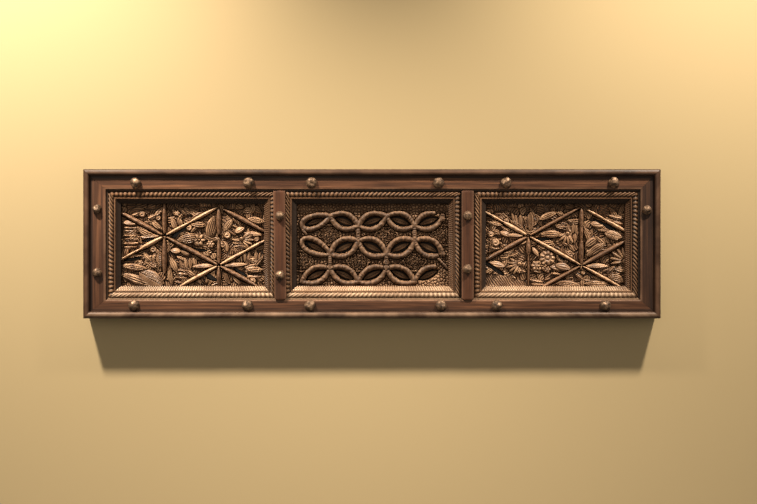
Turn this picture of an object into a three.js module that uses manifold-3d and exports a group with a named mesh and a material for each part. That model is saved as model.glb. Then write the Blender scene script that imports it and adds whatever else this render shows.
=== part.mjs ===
// A long carved wall panel: a rounded rim and mitred rails round three carved boards, each set in
// its own rope moulding, with two battens over the posts between them and hand-made dome nails.
// Millimetres. X runs along the panel, Z is up, the wall is the plane Y = 0 and the front faces -Y.
// Every piece is drawn in the plane of the wall, x along, y up and z out of the wall, and the whole
// group is turned upright at the end.
import * as THREE from "three";
import { mergeVertices } from "three/addons/utils/BufferGeometryUtils.js";
import Module from "manifold-3d";

const wasm = await Module();
wasm.setup();

// Driving dimensions
const SCREEN_WIDTH = 1200;
const SCREEN_HEIGHT = 310;
const SEAM = 0.3; // joiner's gap between any two pieces
const MITRE_BACK = 0.24; // what each mitred end is cut short, along its length

const RIM_WIDTH = 17;
const RIM_CREST = 52; // the whole depth of the panel
const RIM_CREST_INSET = 7.5; // from the outer edge to the top of the bead
const RIM_SHOULDER = 46; // where the bead starts on the outer side
const RIM_BEAD_WIDTH = 14;
const RIM_BEAD_POINTS = 5; // lengths that the bead's curve is drawn in
const RIM_GROOVE = 43.6; // flat strip between the bead and the rails

const RAIL_FACE = 44; // height of the rails and stiles over the wall
const RAIL_TOP_WIDTH = 24.4;
const RAIL_BOTTOM_WIDTH = 20.8;
const STILE_LEFT_WIDTH = 28.8;
const STILE_RIGHT_WIDTH = 24;
const RAIL_ARRIS = 1.2; // worn inner corner of rails and stiles

const BAY_LEFT_WIDTH = 357;
const BAY_RIGHT_WIDTH = 349;
const POST_LEFT_WIDTH = 9.6;
const POST_RIGHT_WIDTH = 20;

const MOULDING_WIDTH = 28.5;
const MOULDING_FACE = 40; // outer fillet
const ROPE_INSET = 4.2;
const ROPE_WIDTH = 11;
const ROPE_CREST = 42;
const ROPE_GROOVE = 37.6; // both sides of the rope
const FILLET_WIDTH = 2.2; // thin raised line inside the rope
const FILLET_FACE = 39;
const SIGHT_FACE = 32.5; // inner edge of the moulding, next to the carving

const BOARD_THICKNESS = 20;
const GROUND = 18; // level of the low carving over the wall
const HOLLOW = 8; // level of the deep hollows
const FOLIAGE_CREST = 27;
const BROAD_LEAF = 15; // leaves from this width on are drawn in three lengths, narrower ones in two
const TIP_WIDTH_SHARE = 0.22; // a leaf's width at its tips, of its widest
const TIP_CREST_SHARE = 0.62; // a leaf's height at its tips, of its highest
const ARM_CREST = 30;
const ROD_WIDTH = 7.4;
const ROD_CREST = 29;
const LENS_LEAF_CREST = 18; // the low leaf inside each loop
const MEDALLION_FACE = 21.5;

const STRAP_WIDTH = 24.5;
const STRAP_THICKNESS = 5;
const STRAP_END_GAP = 3.4; // short of the top rail
const STRAP_TILT = { left: 0.011, right: 0 }; // the left batten was nailed on a little askew
const STRAP_CORNER = 5;

const RAIL_NAIL_RADIUS = 12;
const STILE_NAIL_RADIUS = 10.3;
const NAIL_HEIGHT = 9.6;
const NAIL_FACETS = 7;
const SHANK_SIDE = 4;
const SHANK_LENGTH = 20;
const SHANK_CLEARANCE = 0.35;

// Where each dome nail sits. Along the rails each bay has two, given by how far they are from its
// left and right ends. On the stiles and battens they are measured from the top and bottom edges of
// the whole panel. The lower nail of the right stile is lost.
const TOP_NAILS = [[62.2, 59.4], [61.3, 50], [69.7, 55.6]];
const BOTTOM_NAILS = [[58.5, 62.8], [57.5, 45], [51.2, 72]];
const NAIL_LINE_OFFSET = { top: 1.5, bottom: 0.8, left: 3, right: 1.3 }; // off the middle, outwards
const UPRIGHT_NAILS = {
  left: { fromTop: 83.4, fromBottom: 94.4 },
  right: { fromTop: 85.5 },
  strap_left: { fromTop: 97.3, fromBottom: 89.8 },
  strap_right: { fromTop: 96.3, fromBottom: 102.7 },
};

// The star lattice of the outer boards, as shares of the carved opening
const STAR_ACROSS_SHARE = 0.38;
const STAR_UP_SHARE = 0.714;
const STAR_NODES = { west: [-0.5, 0.15], east: [0.5, -0.35], north: [0.5, 0.65] };
const STAR_SHIFT = { left: -3.3, right: 0 }; // how far the lattice lies off the opening's middle
const STEPS = {
  up: [0, 1],
  down: [0, -1],
  upRight: [1, 0.5],
  downRight: [1, -0.5],
  upLeft: [-1, 0.5],
  downLeft: [-1, -0.5],
};

// Star arms: the node, the way to the next node, then each leaf of the arm with its start and end
// as shares of the way and its width.
const LEFT_ARMS = [
  ["west", "upRight", [0.04, 0.48, 9], [0.45, 0.98, 10]],
  ["west", "downRight", [0.04, 0.97, 12]],
  ["west", "up", [0.04, 0.56, 12]],
  ["west", "down", [0.04, 0.64, 13]],
  ["west", "upLeft", [0.04, 0.84, 12]],
  ["west", "downLeft", [0.04, 0.46, 12], [0.42, 0.86, 7]],
  ["east", "up", [0.03, 0.43, 11], [0.53, 0.97, 14]],
  ["east", "upRight", [0.03, 0.52, 10], [0.47, 0.86, 9]],
  ["east", "downRight", [0.03, 0.72, 12]],
  ["east", "down", [0.04, 0.36, 11]],
  ["east", "downLeft", [0.03, 0.74, 11]],
  ["north", "downRight", [0.08, 0.86, 12]],
];
const RIGHT_ARMS = [
  ["west", "upRight", [0.03, 0.98, 10]],
  ["west", "downRight", [0.03, 0.98, 10]],
  ["west", "upLeft", [0.04, 0.5, 12], [0.47, 0.84, 8]],
  ["west", "downLeft", [0.04, 0.5, 12], [0.46, 0.86, 11]],
  ["west", "down", [0.05, 0.33, 12], [0.28, 0.84, 5]],
  ["east", "up", [0.03, 0.45, 12], [0.42, 0.72, 9], [0.66, 0.98, 12]],
  ["east", "upRight", [0.03, 0.86, 13]],
  ["east", "downRight", [0.03, 0.84, 9]],
  ["east", "downLeft", [0.03, 0.84, 10]],
  ["north", "downRight", [0.1, 0.46, 8], [0.42, 0.86, 10]],
];

// Leaves between the arms: both ends as shares of the star pitch, and the width.
const LEFT_LEAVES = [
  [-1.27, 0.38, -0.96, 0.37, 10],
  [-1.0, 0.3, -0.62, 0.14, 20],
  [-0.95, 0.13, -0.58, 0.16, 8],
  [-0.69, 0.48, -0.48, 0.66, 9],
  [-0.73, 0.39, -0.57, 0.27, 9],
  [-0.37, 0.46, -0.27, 0.23, 10],
  [-0.25, 0.46, -0.18, 0.3, 9],
  [-0.27, 0.07, 0.18, 0.14, 18],
  [0.42, 0.49, 0.32, 0.1, 20],
  [-0.04, 0.36, 0.28, 0.33, 11],
  [0.79, 0.21, 0.97, 0.29, 11],
  [0.96, 0.2, 1.29, 0.17, 9],
  [0.59, 0.23, 0.75, 0.43, 12],
  [1.03, 0.44, 1.34, 0.39, 12],
  [0.02, -0.37, 0.42, -0.35, 8],
  [0.58, -0.35, 1.03, -0.33, 8],
  [1.0, -0.41, 1.31, -0.43, 12],
  [-1.29, -0.35, -0.82, -0.41, 12],
  [-1.32, -0.49, -0.69, -0.7, 15],
  [-0.96, -0.46, -0.54, -0.7, 28],
  [-0.59, -0.12, -0.57, -0.39, 14],
  [-0.39, -0.22, -0.27, -0.47, 11],
  [-0.39, -0.1, -0.2, -0.11, 10],
];
const RIGHT_LEAVES = [
  [-1.27, -0.3, -0.94, -0.37, 12],
  [0.01, -0.34, 0.29, -0.41, 14],
  [0.94, 0.2, 1.27, 0.13, 16],
  [0.67, 0.36, 0.98, 0.34, 13],
  [0.79, 0.11, 0.58, -0.03, 15],
  [0.96, 0.02, 0.61, -0.19, 17],
  [-1.23, 0.39, -0.99, 0.34, 9],
  [-1.04, 0.22, -0.82, 0.15, 10],
  [-0.9, 0.17, -0.58, 0.16, 8],
  [-0.27, 0.19, 0.14, 0.18, 13],
  [-0.3, 0.43, 0.04, 0.56, 12],
  [0.04, 0.56, 0.18, 0.48, 9],
  [-0.46, 0.23, -0.46, 0.56, 12],
  [-0.43, -0.04, -0.31, -0.2, 8],
  [-1.31, -0.54, -0.53, -0.66, 26],
  [-0.02, -0.64, 0.47, -0.69, 12],
  [0.56, -0.66, 1.05, -0.67, 12],
  [0.58, -0.36, 1.0, -0.36, 9],
  [1.03, 0.39, 1.37, 0.46, 24],
  [1.01, -0.54, 1.32, -0.62, 16],
];

// Fans of petals: the heart, the petals' length, first and last direction in degrees, how many.
const LEFT_FANS = [
  [0.92, 0.1, 26, -50, 40, 5],
  [0.14, 0.08, 15, 0, 360, 6],
];
const RIGHT_FANS = [
  [-0.67, -0.33, 27, 150, 240, 5],
  [0.24, 0.19, 24, 195, 300, 5],
  [-0.25, -0.36, 13, 0, 360, 6],
  [1.32, -0.28, 34, 100, 190, 5],
];
const FAN_PETAL_WIDTH = 6.5;
const PETAL_ROOT_SHARE = 0.35; // a petal's width at the heart, of its width at its outer end
const PETAL_CREST = 26;

// Deep slits that leave the hollows dark beside the arms, given as the leaves are.
const LEFT_SLITS = [
  [-0.41, 0.11, -0.11, 0.3, 7],
  [-0.91, 0.07, -0.59, 0.1, 7],
  [0.21, -0.49, 0.46, -0.61, 9],
  [0.79, -0.41, 1.0, -0.54, 7],
  [-1.25, -0.27, -0.96, -0.22, 5],
  [-0.18, -0.07, 0.27, -0.1, 6],
];
const RIGHT_SLITS = [
  [-1.29, -0.31, -0.97, -0.51, 8],
  [-0.38, 0.1, -0.04, 0.1, 6],
  [0.55, 0.03, 0.56, -0.23, 6],
  [0.76, 0.43, 1.17, 0.25, 7],
  [0.03, -0.11, 0.17, -0.25, 7],
];

// The bowl of a flower on the right board
const BOWL = { at: [-0.14, -0.22], radius: 17, hollow: 11 };

// The centre board: three rows of loops, each loop lying between a low and a high crossing.
const LOOP_START_SHARE = -0.466; // first crossing, as a share of the opening's width
const LOOP_STEP_SHARE = 0.1858; // from crossing to crossing
// Each row's middle, and how far its crossings lie over or under that, as shares of the opening's
// height. The swell is from a loop's long axis to the middle of its rods.
const ROWS = [
  { at: 0.286, rise: 0.059, swell: 16.5 },
  { at: -0.033, rise: 0.082, swell: 17.5 },
  { at: -0.368, rise: 0.082, swell: 15.5 },
];
const LOOPS_PER_ROW = 5;
// The last loop of each row is broken: how much is left of its upper and of its lower rod
const LAST_LOOPS = [{ upper: 0.74, lower: 1 }, { upper: 1, lower: 0.85 }, { upper: 0.78, lower: 0 }];
const STRAY_ROD = { from: [0.437, -0.176], to: [0.5, -0.298] }; // shares of the opening
const STRAY_ROD_WIDTH = 6;
const LINK_WIDTH = 10;
const MEDALLION_SHARE = 0.152; // half a medallion, of the opening's height
const MEDALLION_HEART_SHARE = 0.5; // its raised middle, of its own width
const MEDALLION_HEART_RISE = 1.5;

// Wood and brass
const finish = (color, roughness, metalness = 0) =>
  new THREE.MeshStandardMaterial({ color, roughness, metalness });
const railWood = () => finish(0x4a2a1b, 0.55);
const rimWood = () => finish(0x3a2016, 0.5);
const mouldingWood = () => finish(0x6b452a, 0.6);
const carvedWood = () => finish(0x70492c, 0.62);
const nailBrass = () => finish(0x9b8156, 0.45, 0.85);

const screen = new THREE.Group();
screen.rotation.x = Math.PI / 2;

// A closed three.js geometry as a solid that can be cut and joined
function solidOf(geometry) {
  const bare = geometry.clone();
  bare.deleteAttribute("normal");
  bare.deleteAttribute("uv");
  const merged = mergeVertices(bare, 1e-4);
  const vertProperties = new Float32Array(merged.attributes.position.array);
  const triVerts = new Uint32Array(merged.index.array);
  return new wasm.Manifold(new wasm.Mesh({ numProp: 3, vertProperties, triVerts }));
}

function geometryOf(solid) {
  const mesh = solid.getMesh();
  const geometry = new THREE.BufferGeometry();
  const places = new Float32Array(mesh.numVert * 3);
  for (let i = 0; i < mesh.numVert; i++) {
    places.set(mesh.vertProperties.subarray(i * mesh.numProp, i * mesh.numProp + 3), i * 3);
  }
  geometry.setAttribute("position", new THREE.BufferAttribute(places, 3));
  geometry.setIndex(new THREE.BufferAttribute(new Uint32Array(mesh.triVerts), 1));
  return geometry;
}

function place(name, shape, material) {
  const geometry = shape.isBufferGeometry ? shape : geometryOf(shape);
  const mesh = new THREE.Mesh(geometry, material);
  mesh.name = name;
  screen.add(mesh);
}

const joined = (solids) => solids.reduce((all, next) => all.add(next));

// A block between two corners, in the plane of the wall, from one level to another
function block(area, low, high) {
  const geometry = new THREE.BoxGeometry(
    area.right - area.left,
    area.top - area.bottom,
    high - low,
  );
  geometry.translate((area.left + area.right) / 2, (area.top + area.bottom) / 2, (low + high) / 2);
  return geometry;
}

const inset = (area, left, right = left, top = left, bottom = left) => ({
  left: area.left + left,
  right: area.right - right,
  top: area.top - top,
  bottom: area.bottom + bottom,
});

const cornersOf = (area) => [
  new THREE.Vector2(area.right, area.top),
  new THREE.Vector2(area.left, area.top),
  new THREE.Vector2(area.left, area.bottom),
  new THREE.Vector2(area.right, area.bottom),
];

// Four mitred lengths of one moulding round a rectangle. The section gives inset and height for a
// length of the given width, and each end is cut back along its mitre.
function mitredRing(outer, inner, section) {
  const outside = cornersOf(outer);
  const inside = cornersOf(inner);
  return ["top", "left", "bottom", "right"].map((side, k) => {
    const next = (k + 1) % 4;
    const width = Math.abs(outer[side] - inner[side]);
    const along = outside[next].clone().sub(outside[k]).normalize();
    const outline = new THREE.Shape(section(width).map(([x, y]) => new THREE.Vector2(x, y)));
    const bar = new THREE.ExtrudeGeometry(outline, { depth: 1, steps: 1, bevelEnabled: false });
    const spot = bar.attributes.position;
    for (let i = 0; i < spot.count; i++) {
      const across = spot.getX(i) / width;
      const height = spot.getY(i);
      const end = spot.getZ(i) > 0.5 ? next : k;
      const point = outside[end].clone().lerp(inside[end], across);
      point.addScaledVector(along, end === k ? MITRE_BACK : -MITRE_BACK);
      spot.setXYZ(i, point.x, point.y, height);
    }
    return { side, bar };
  });
}

// Points of a rounded bead, from its start to its end across the section
function beadPoints(start, width, foot, crest, points) {
  const list = [];
  for (let i = 0; i <= points; i++) {
    const angle = Math.PI * (1 - i / points);
    list.push([
      start + (width / 2) * (1 + Math.cos(angle)),
      foot + (crest - foot) * Math.sin(angle),
    ]);
  }
  return list;
}

// The rim: four mitred boards whose front edge is a rounded bead
const whole = {
  left: -SCREEN_WIDTH / 2,
  right: SCREEN_WIDTH / 2,
  top: SCREEN_HEIGHT / 2,
  bottom: -SCREEN_HEIGHT / 2,
};
const rimSection = (width) => {
  const bead = [];
  for (let i = 0; i <= RIM_BEAD_POINTS; i++) {
    const share = i / RIM_BEAD_POINTS;
    const x = share * RIM_BEAD_WIDTH;
    const foot = THREE.MathUtils.lerp(RIM_SHOULDER, RIM_GROOVE, share);
    const lean = x < RIM_CREST_INSET ? RIM_CREST_INSET : RIM_BEAD_WIDTH - RIM_CREST_INSET;
    const swell = Math.sqrt(Math.max(0, 1 - ((x - RIM_CREST_INSET) / lean) ** 2));
    bead.push([x, foot + (RIM_CREST - foot) * swell]);
  }
  return [[0, 0], [width, 0], [width, RIM_GROOVE], ...bead.reverse()];
};
mitredRing(whole, inset(whole, RIM_WIDTH), rimSection).forEach(({ side, bar }) => {
  place("rim_" + side, bar, rimWood());
});

// Rails and stiles: flat boards of unequal width, mitred at the corners
const railOuter = inset(whole, RIM_WIDTH + SEAM);
const railInner = inset(
  railOuter,
  STILE_LEFT_WIDTH,
  STILE_RIGHT_WIDTH,
  RAIL_TOP_WIDTH,
  RAIL_BOTTOM_WIDTH,
);
const railSection = (width) => [
  [0, 0],
  [width, 0],
  [width, RAIL_FACE - RAIL_ARRIS],
  [width - RAIL_ARRIS, RAIL_FACE],
  [0, RAIL_FACE],
];

// Three bays stand side by side inside the rails, with a post between each two
const field = inset(railInner, SEAM);
const leftBay = { ...field, right: field.left + BAY_LEFT_WIDTH };
const rightBay = { ...field, left: field.right - BAY_RIGHT_WIDTH };
const leftPost = {
  ...field,
  left: leftBay.right + SEAM,
  right: leftBay.right + SEAM + POST_LEFT_WIDTH,
};
const rightPost = {
  ...field,
  left: rightBay.left - SEAM - POST_RIGHT_WIDTH,
  right: rightBay.left - SEAM,
};
const centreBay = { ...field, left: leftPost.right + SEAM, right: rightPost.left - SEAM };
const middleOf = (area) => (area.left + area.right) / 2;

// Hand-made dome nails with a square shank
const nails = [];
function addNail(name, x, y, radius, seat) {
  nails.push({ name, x, y, radius, seat });
}
const topNailLine = (railOuter.top + railInner.top) / 2 + NAIL_LINE_OFFSET.top;
const bottomNailLine = (railOuter.bottom + railInner.bottom) / 2 - NAIL_LINE_OFFSET.bottom;
const leftNailLine = (railOuter.left + railInner.left) / 2 - NAIL_LINE_OFFSET.left;
const rightNailLine = (railOuter.right + railInner.right) / 2 + NAIL_LINE_OFFSET.right;
const railSeat = RAIL_FACE + SEAM;
const strapSeat = ROPE_CREST + SEAM + STRAP_THICKNESS + SEAM;

function addRailNails(side, places, line) {
  [leftBay, centreBay, rightBay].forEach((bay, k) => {
    const [fromLeft, fromRight] = places[k];
    const name = "nail_" + side + "_";
    addNail(name + (2 * k + 1), bay.left + fromLeft, line, RAIL_NAIL_RADIUS, railSeat);
    addNail(name + (2 * k + 2), bay.right - fromRight, line, RAIL_NAIL_RADIUS, railSeat);
  });
}
addRailNails("top", TOP_NAILS, topNailLine);
addRailNails("bottom", BOTTOM_NAILS, bottomNailLine);

function addUprightNails(side, line, seat) {
  const { fromTop, fromBottom } = UPRIGHT_NAILS[side];
  const name = "nail_" + side + "_";
  addNail(name + 1, line, whole.top - fromTop, STILE_NAIL_RADIUS, seat);
  if (fromBottom !== undefined) {
    addNail(name + 2, line, whole.bottom + fromBottom, STILE_NAIL_RADIUS, seat);
  }
}
addUprightNails("left", leftNailLine, railSeat);
addUprightNails("right", rightNailLine, railSeat);
addUprightNails("strap_left", middleOf(leftPost), strapSeat);
addUprightNails("strap_right", middleOf(rightPost), strapSeat);

// The square holes that the nails' shanks go into, cut a little wider and deeper than the shanks
function drilled(geometry, wanted) {
  let solid = solidOf(geometry);
  nails.filter(wanted).forEach(({ x, y, seat }) => {
    const half = SHANK_SIDE / 2 + SHANK_CLEARANCE;
    const hole = { left: x - half, right: x + half, top: y + half, bottom: y - half };
    const reach = SHANK_LENGTH + SHANK_CLEARANCE;
    solid = solid.subtract(solidOf(block(hole, seat - reach, seat + NAIL_HEIGHT)));
  });
  return solid;
}

mitredRing(railOuter, railInner, railSection).forEach(({ side, bar }) => {
  const name = (side === "top" || side === "bottom" ? "rail_" : "stile_") + side;
  place(name, drilled(bar, (nail) => nail.name.startsWith("nail_" + side + "_")), railWood());
});

// Posts between the bays, and the flat battens nailed over them
const strapAreaOf = (post) => {
  const middle = middleOf(post);
  return {
    left: middle - STRAP_WIDTH / 2,
    right: middle + STRAP_WIDTH / 2,
    top: railInner.top - STRAP_END_GAP,
    bottom: railInner.bottom + SEAM,
  };
};

function strapOutline(area) {
  const outline = new THREE.Shape();
  const turn = Math.PI / 2;
  outline.moveTo(area.right, area.top);
  outline.lineTo(area.left, area.top);
  outline.lineTo(area.left, area.bottom + STRAP_CORNER);
  outline.absarc(
    area.left + STRAP_CORNER,
    area.bottom + STRAP_CORNER,
    STRAP_CORNER,
    2 * turn,
    3 * turn,
  );
  outline.absarc(
    area.right - STRAP_CORNER,
    area.bottom + STRAP_CORNER,
    STRAP_CORNER,
    3 * turn,
    4 * turn,
  );
  return outline;
}

[
  ["left", leftPost],
  ["right", rightPost],
].forEach(([side, post]) => {
  const throughPost = (nail) => nail.name.startsWith("nail_strap_" + side);
  place("post_" + side, drilled(block(post, 0, ROPE_CREST), throughPost), railWood());
  const options = { depth: STRAP_THICKNESS, bevelEnabled: false, curveSegments: 3 };
  const strap = new THREE.ExtrudeGeometry(strapOutline(strapAreaOf(post)), options);
  const middle = middleOf(post);
  const level = (railInner.top + railInner.bottom) / 2;
  strap.translate(-middle, -level, ROPE_CREST + SEAM);
  strap.rotateZ(STRAP_TILT[side]);
  strap.translate(middle, level, 0);
  place("strap_" + side, drilled(strap, throughPost), railWood());
});

nails.forEach(({ name, x, y, radius, seat }, i) => {
  const dome = [
    [0, 0],
    [1, 0.1],
    [0.84, 0.6],
    [0.42, 0.93],
    [0, 1],
  ].map(([out, up]) => new THREE.Vector2(out * radius, up * NAIL_HEIGHT));
  const head = new THREE.LatheGeometry(dome, NAIL_FACETS);
  head.rotateX(Math.PI / 2);
  head.rotateZ(i);
  head.translate(x, y, seat);
  const half = SHANK_SIDE / 2;
  const foot = { left: x - half, right: x + half, top: y + half, bottom: y - half };
  const shank = block(foot, seat - SHANK_LENGTH, seat + NAIL_HEIGHT / 2);
  place(name, solidOf(head).add(solidOf(shank)), nailBrass());
});

// The moulding round each bay: outer fillet, rope, thin raised line and a slope to the carving
const mouldingSection = (width) => {
  const ropeEnd = ROPE_INSET + ROPE_WIDTH;
  const rope = beadPoints(ROPE_INSET, ROPE_WIDTH, ROPE_GROOVE, ROPE_CREST, 5);
  const lineStart = ropeEnd + FILLET_WIDTH / 2;
  const lineEnd = lineStart + FILLET_WIDTH;
  const front = [
    [0, MOULDING_FACE],
    [ROPE_INSET - 1, MOULDING_FACE],
    ...rope,
    [lineStart, FILLET_FACE],
    [lineEnd, FILLET_FACE],
    [lineEnd + 1, ROPE_GROOVE],
    [width, SIGHT_FACE],
  ];
  return [[0, BOARD_THICKNESS + SEAM], [width, BOARD_THICKNESS + SEAM], ...front.reverse()];
};

// A carved bar that follows a route over the ground. Its half width and its crest may change along
// it, and its foot goes below the deepest hollow.
const ROOT = GROUND - HOLLOW + 1;
function carvedBar(route, halfWidth, crest, steps = 4) {
  const bar = new THREE.CylinderGeometry(1, 1, 1, 6, steps);
  const spot = bar.attributes.position;
  for (let i = 0; i < spot.count; i++) {
    const share = spot.getY(i) + 0.5;
    const centre = route(share);
    const along = route(share + 0.01).sub(route(share - 0.01)).normalize();
    const across = spot.getX(i) * halfWidth(share);
    const rise = spot.getZ(i) > 0 ? spot.getZ(i) * (crest(share) - GROUND) : -ROOT;
    spot.setXYZ(i, centre.x + along.y * across, centre.y - along.x * across, GROUND + rise);
  }
  return solidOf(bar);
}

const straight = (from, to) => (share) => from.clone().lerp(to, share);
const bowed = (from, to, swell, blunt = false) => {
  const way = to.clone().sub(from);
  const side = new THREE.Vector2(-way.y, way.x).normalize();
  return (share) => {
    const kept = Math.min(Math.max(share, 0), 1);
    const arch = blunt ? 1.9 * kept ** 0.5 * (1 - kept) ** 0.8 : 4 * kept * (1 - kept);
    return from.clone().addScaledVector(way, share).addScaledVector(side, swell * arch);
  };
};

// A leaf is widest a little past its middle and keeps some height at its tips
const fullness = (share) => Math.sin(Math.PI * THREE.MathUtils.clamp(share, 0, 1));
const leafWidth = (width) => (share) =>
  (width / 2) * THREE.MathUtils.lerp(TIP_WIDTH_SHARE, 1, fullness(share));
const leafCrest = (top) => (share) =>
  GROUND + (top - GROUND) * THREE.MathUtils.lerp(TIP_CREST_SHARE, 1, fullness(share));

function leaf(from, to, width, top, steps) {
  return carvedBar(straight(from, to), leafWidth(width), leafCrest(top), steps);
}

const petalWidth = (share) =>
  (FAN_PETAL_WIDTH / 2) * THREE.MathUtils.lerp(PETAL_ROOT_SHARE, 1, share);

function petalFan(heart, length, first, last, count) {
  const petals = [];
  const closed = last - first === 360;
  for (let i = 0; i < count; i++) {
    const degrees = first + ((last - first) * i) / (closed ? count : count - 1);
    const way = new THREE.Vector2(1, 0).rotateAround(
      new THREE.Vector2(),
      THREE.MathUtils.degToRad(degrees),
    );
    const from = heart.clone().addScaledVector(way, length * 0.12);
    const to = heart.clone().addScaledVector(way, length);
    petals.push(carvedBar(straight(from, to), petalWidth, () => PETAL_CREST, 1));
  }
  return petals;
}

// A board with its ground sunk inside the opening, and carving kept inside the moulding
function carvedBoard(bay, opening, relief, hollows) {
  const board = solidOf(block(bay, 0, BOARD_THICKNESS));
  const sunk = solidOf(block(inset(opening, SEAM), GROUND, RIM_CREST));
  const room = solidOf(block(inset(opening, SEAM), HOLLOW - SEAM, RIM_CREST));
  return board.subtract(sunk).subtract(joined(hollows)).add(joined(relief).intersect(room));
}

function starBoard(bay, opening, shift, arms, leaves, fans, slits, extra) {
  const middle = new THREE.Vector2(middleOf(opening) + shift, (opening.top + opening.bottom) / 2);
  const across = (opening.right - opening.left) * STAR_ACROSS_SHARE;
  const up = (opening.top - opening.bottom) * STAR_UP_SHARE;
  const at = (x, y) => new THREE.Vector2(middle.x + x * across, middle.y + y * up);
  const relief = [];
  arms.forEach(([node, way, ...parts]) => {
    const start = at(...STAR_NODES[node]);
    const end = at(STAR_NODES[node][0] + STEPS[way][0], STAR_NODES[node][1] + STEPS[way][1]);
    parts.forEach(([from, to, width]) => {
      const first = start.clone().lerp(end, from);
      relief.push(leaf(first, start.clone().lerp(end, to), width, ARM_CREST, 3));
    });
  });
  leaves.forEach(([x1, y1, x2, y2, width]) => {
    const steps = width >= BROAD_LEAF ? 3 : 2;
    relief.push(leaf(at(x1, y1), at(x2, y2), width, FOLIAGE_CREST, steps));
  });
  fans.forEach(([x, y, length, first, last, count]) => {
    relief.push(...petalFan(at(x, y), length, first, last, count));
  });
  const hollows = slits.map(([x1, y1, x2, y2, width]) => {
    const slot = block({ left: -0.5, right: 0.5, top: width / 2, bottom: -width / 2 }, HOLLOW, RIM_CREST);
    const from = at(x1, y1);
    const way = at(x2, y2).sub(from);
    slot.scale(way.length(), 1, 1);
    slot.rotateZ(way.angle());
    slot.translate(from.x + way.x / 2, from.y + way.y / 2, 0);
    return solidOf(slot);
  });
  return carvedBoard(bay, opening, relief.concat(extra(at)), hollows);
}

// A flower's bowl: a low round cup
function bowl(at) {
  const profile = [
    [0, GROUND - ROOT],
    [BOWL.radius, GROUND - ROOT],
    [BOWL.radius * 0.92, FOLIAGE_CREST - 2],
    [BOWL.hollow, FOLIAGE_CREST + 2],
    [BOWL.hollow * 0.5, FOLIAGE_CREST - 3],
    [0, FOLIAGE_CREST - 4],
  ].map(([x, y]) => new THREE.Vector2(x, y));
  const cup = new THREE.LatheGeometry(profile, 8);
  cup.rotateX(Math.PI / 2);
  const centre = at(...BOWL.at);
  cup.translate(centre.x, centre.y, 0);
  return [solidOf(cup)];
}

// A medallion: a six-sided plate with a smaller one raised on it
function medallion(centre, half) {
  const tiers = [
    [half, MEDALLION_FACE],
    [half * MEDALLION_HEART_SHARE, MEDALLION_FACE + MEDALLION_HEART_RISE],
  ];
  return tiers.map(([reach, top]) => {
    const outline = [];
    for (let i = 0; i < 6; i++) {
      const angle = (i * Math.PI) / 3;
      outline.push(new THREE.Vector2(Math.cos(angle) * reach, Math.sin(angle) * reach));
    }
    const foot = GROUND - ROOT;
    const options = { depth: top - foot, bevelEnabled: false };
    const plate = new THREE.ExtrudeGeometry(new THREE.Shape(outline), options);
    plate.translate(centre.x, centre.y, foot);
    return solidOf(plate);
  });
}

function loopBoard(bay, opening) {
  const width = opening.right - opening.left;
  const height = opening.top - opening.bottom;
  const middle = new THREE.Vector2(middleOf(opening), (opening.top + opening.bottom) / 2);
  const crossing = (row, k) => {
    const high = (row + k) % 2 === 1;
    return new THREE.Vector2(
      middle.x + width * (LOOP_START_SHARE + k * LOOP_STEP_SHARE),
      middle.y + height * (ROWS[row].at + (high ? ROWS[row].rise : -ROWS[row].rise)),
    );
  };
  const rodCrest = () => ROD_CREST;
  const rod = (route, width = ROD_WIDTH) => carvedBar(route, () => width / 2, rodCrest, 4);
  const partOf = (route, left) => (share) => route(share * left);
  const relief = [];
  const hollows = [];
  ROWS.forEach(({ swell }, row) => {
    for (let k = 0; k < LOOPS_PER_ROW; k++) {
      const from = crossing(row, k);
      const to = crossing(row, k + 1);
      const blunt = k === 0 && row < 2;
      const left = k === LOOPS_PER_ROW - 1 ? LAST_LOOPS[row] : { upper: 1, lower: 1 };
      relief.push(rod(partOf(bowed(from, to, swell, blunt), left.upper)));
      if (left.lower > 0) {
        relief.push(rod(partOf(bowed(from, to, -swell, blunt), left.lower)));
      }
      const inner = swell - ROD_WIDTH / 2;
      const shares = [0.18, 0.5, 0.82];
      const lens = [
        ...shares.map(bowed(from, to, -inner)),
        ...shares.map(bowed(from, to, inner)).reverse(),
      ];
      const pocket = new THREE.ExtrudeGeometry(new THREE.Shape(lens), {
        depth: RIM_CREST,
        bevelEnabled: false,
      });
      pocket.translate(0, 0, HOLLOW);
      hollows.push(solidOf(pocket));
      const [tip, end] = [0.2, 0.8].map((share) => from.clone().lerp(to, share));
      relief.push(leaf(tip, end, ROD_WIDTH, LENS_LEAF_CREST, 2));
    }
  });
  const [strayFrom, strayTo] = [STRAY_ROD.from, STRAY_ROD.to].map(
    ([x, y]) => new THREE.Vector2(middle.x + width * x, middle.y + height * y),
  );
  relief.push(rod(straight(strayFrom, strayTo), STRAY_ROD_WIDTH));
  [[0, 2], [0, 4], [1, 1], [1, 3]].forEach(([row, k]) => {
    const link = straight(crossing(row, k), crossing(row + 1, k));
    relief.push(carvedBar(link, () => LINK_WIDTH / 2, rodCrest, 1));
  });
  [[0, 1], [0, 3], [0, 5], [1, 2], [1, 4], [1, 0]].forEach(([row, k]) => {
    const centre = crossing(row, k).add(crossing(row + 1, k)).multiplyScalar(0.5);
    relief.push(...medallion(centre, height * MEDALLION_SHARE));
  });
  return carvedBoard(bay, opening, relief, hollows);
}

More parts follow.
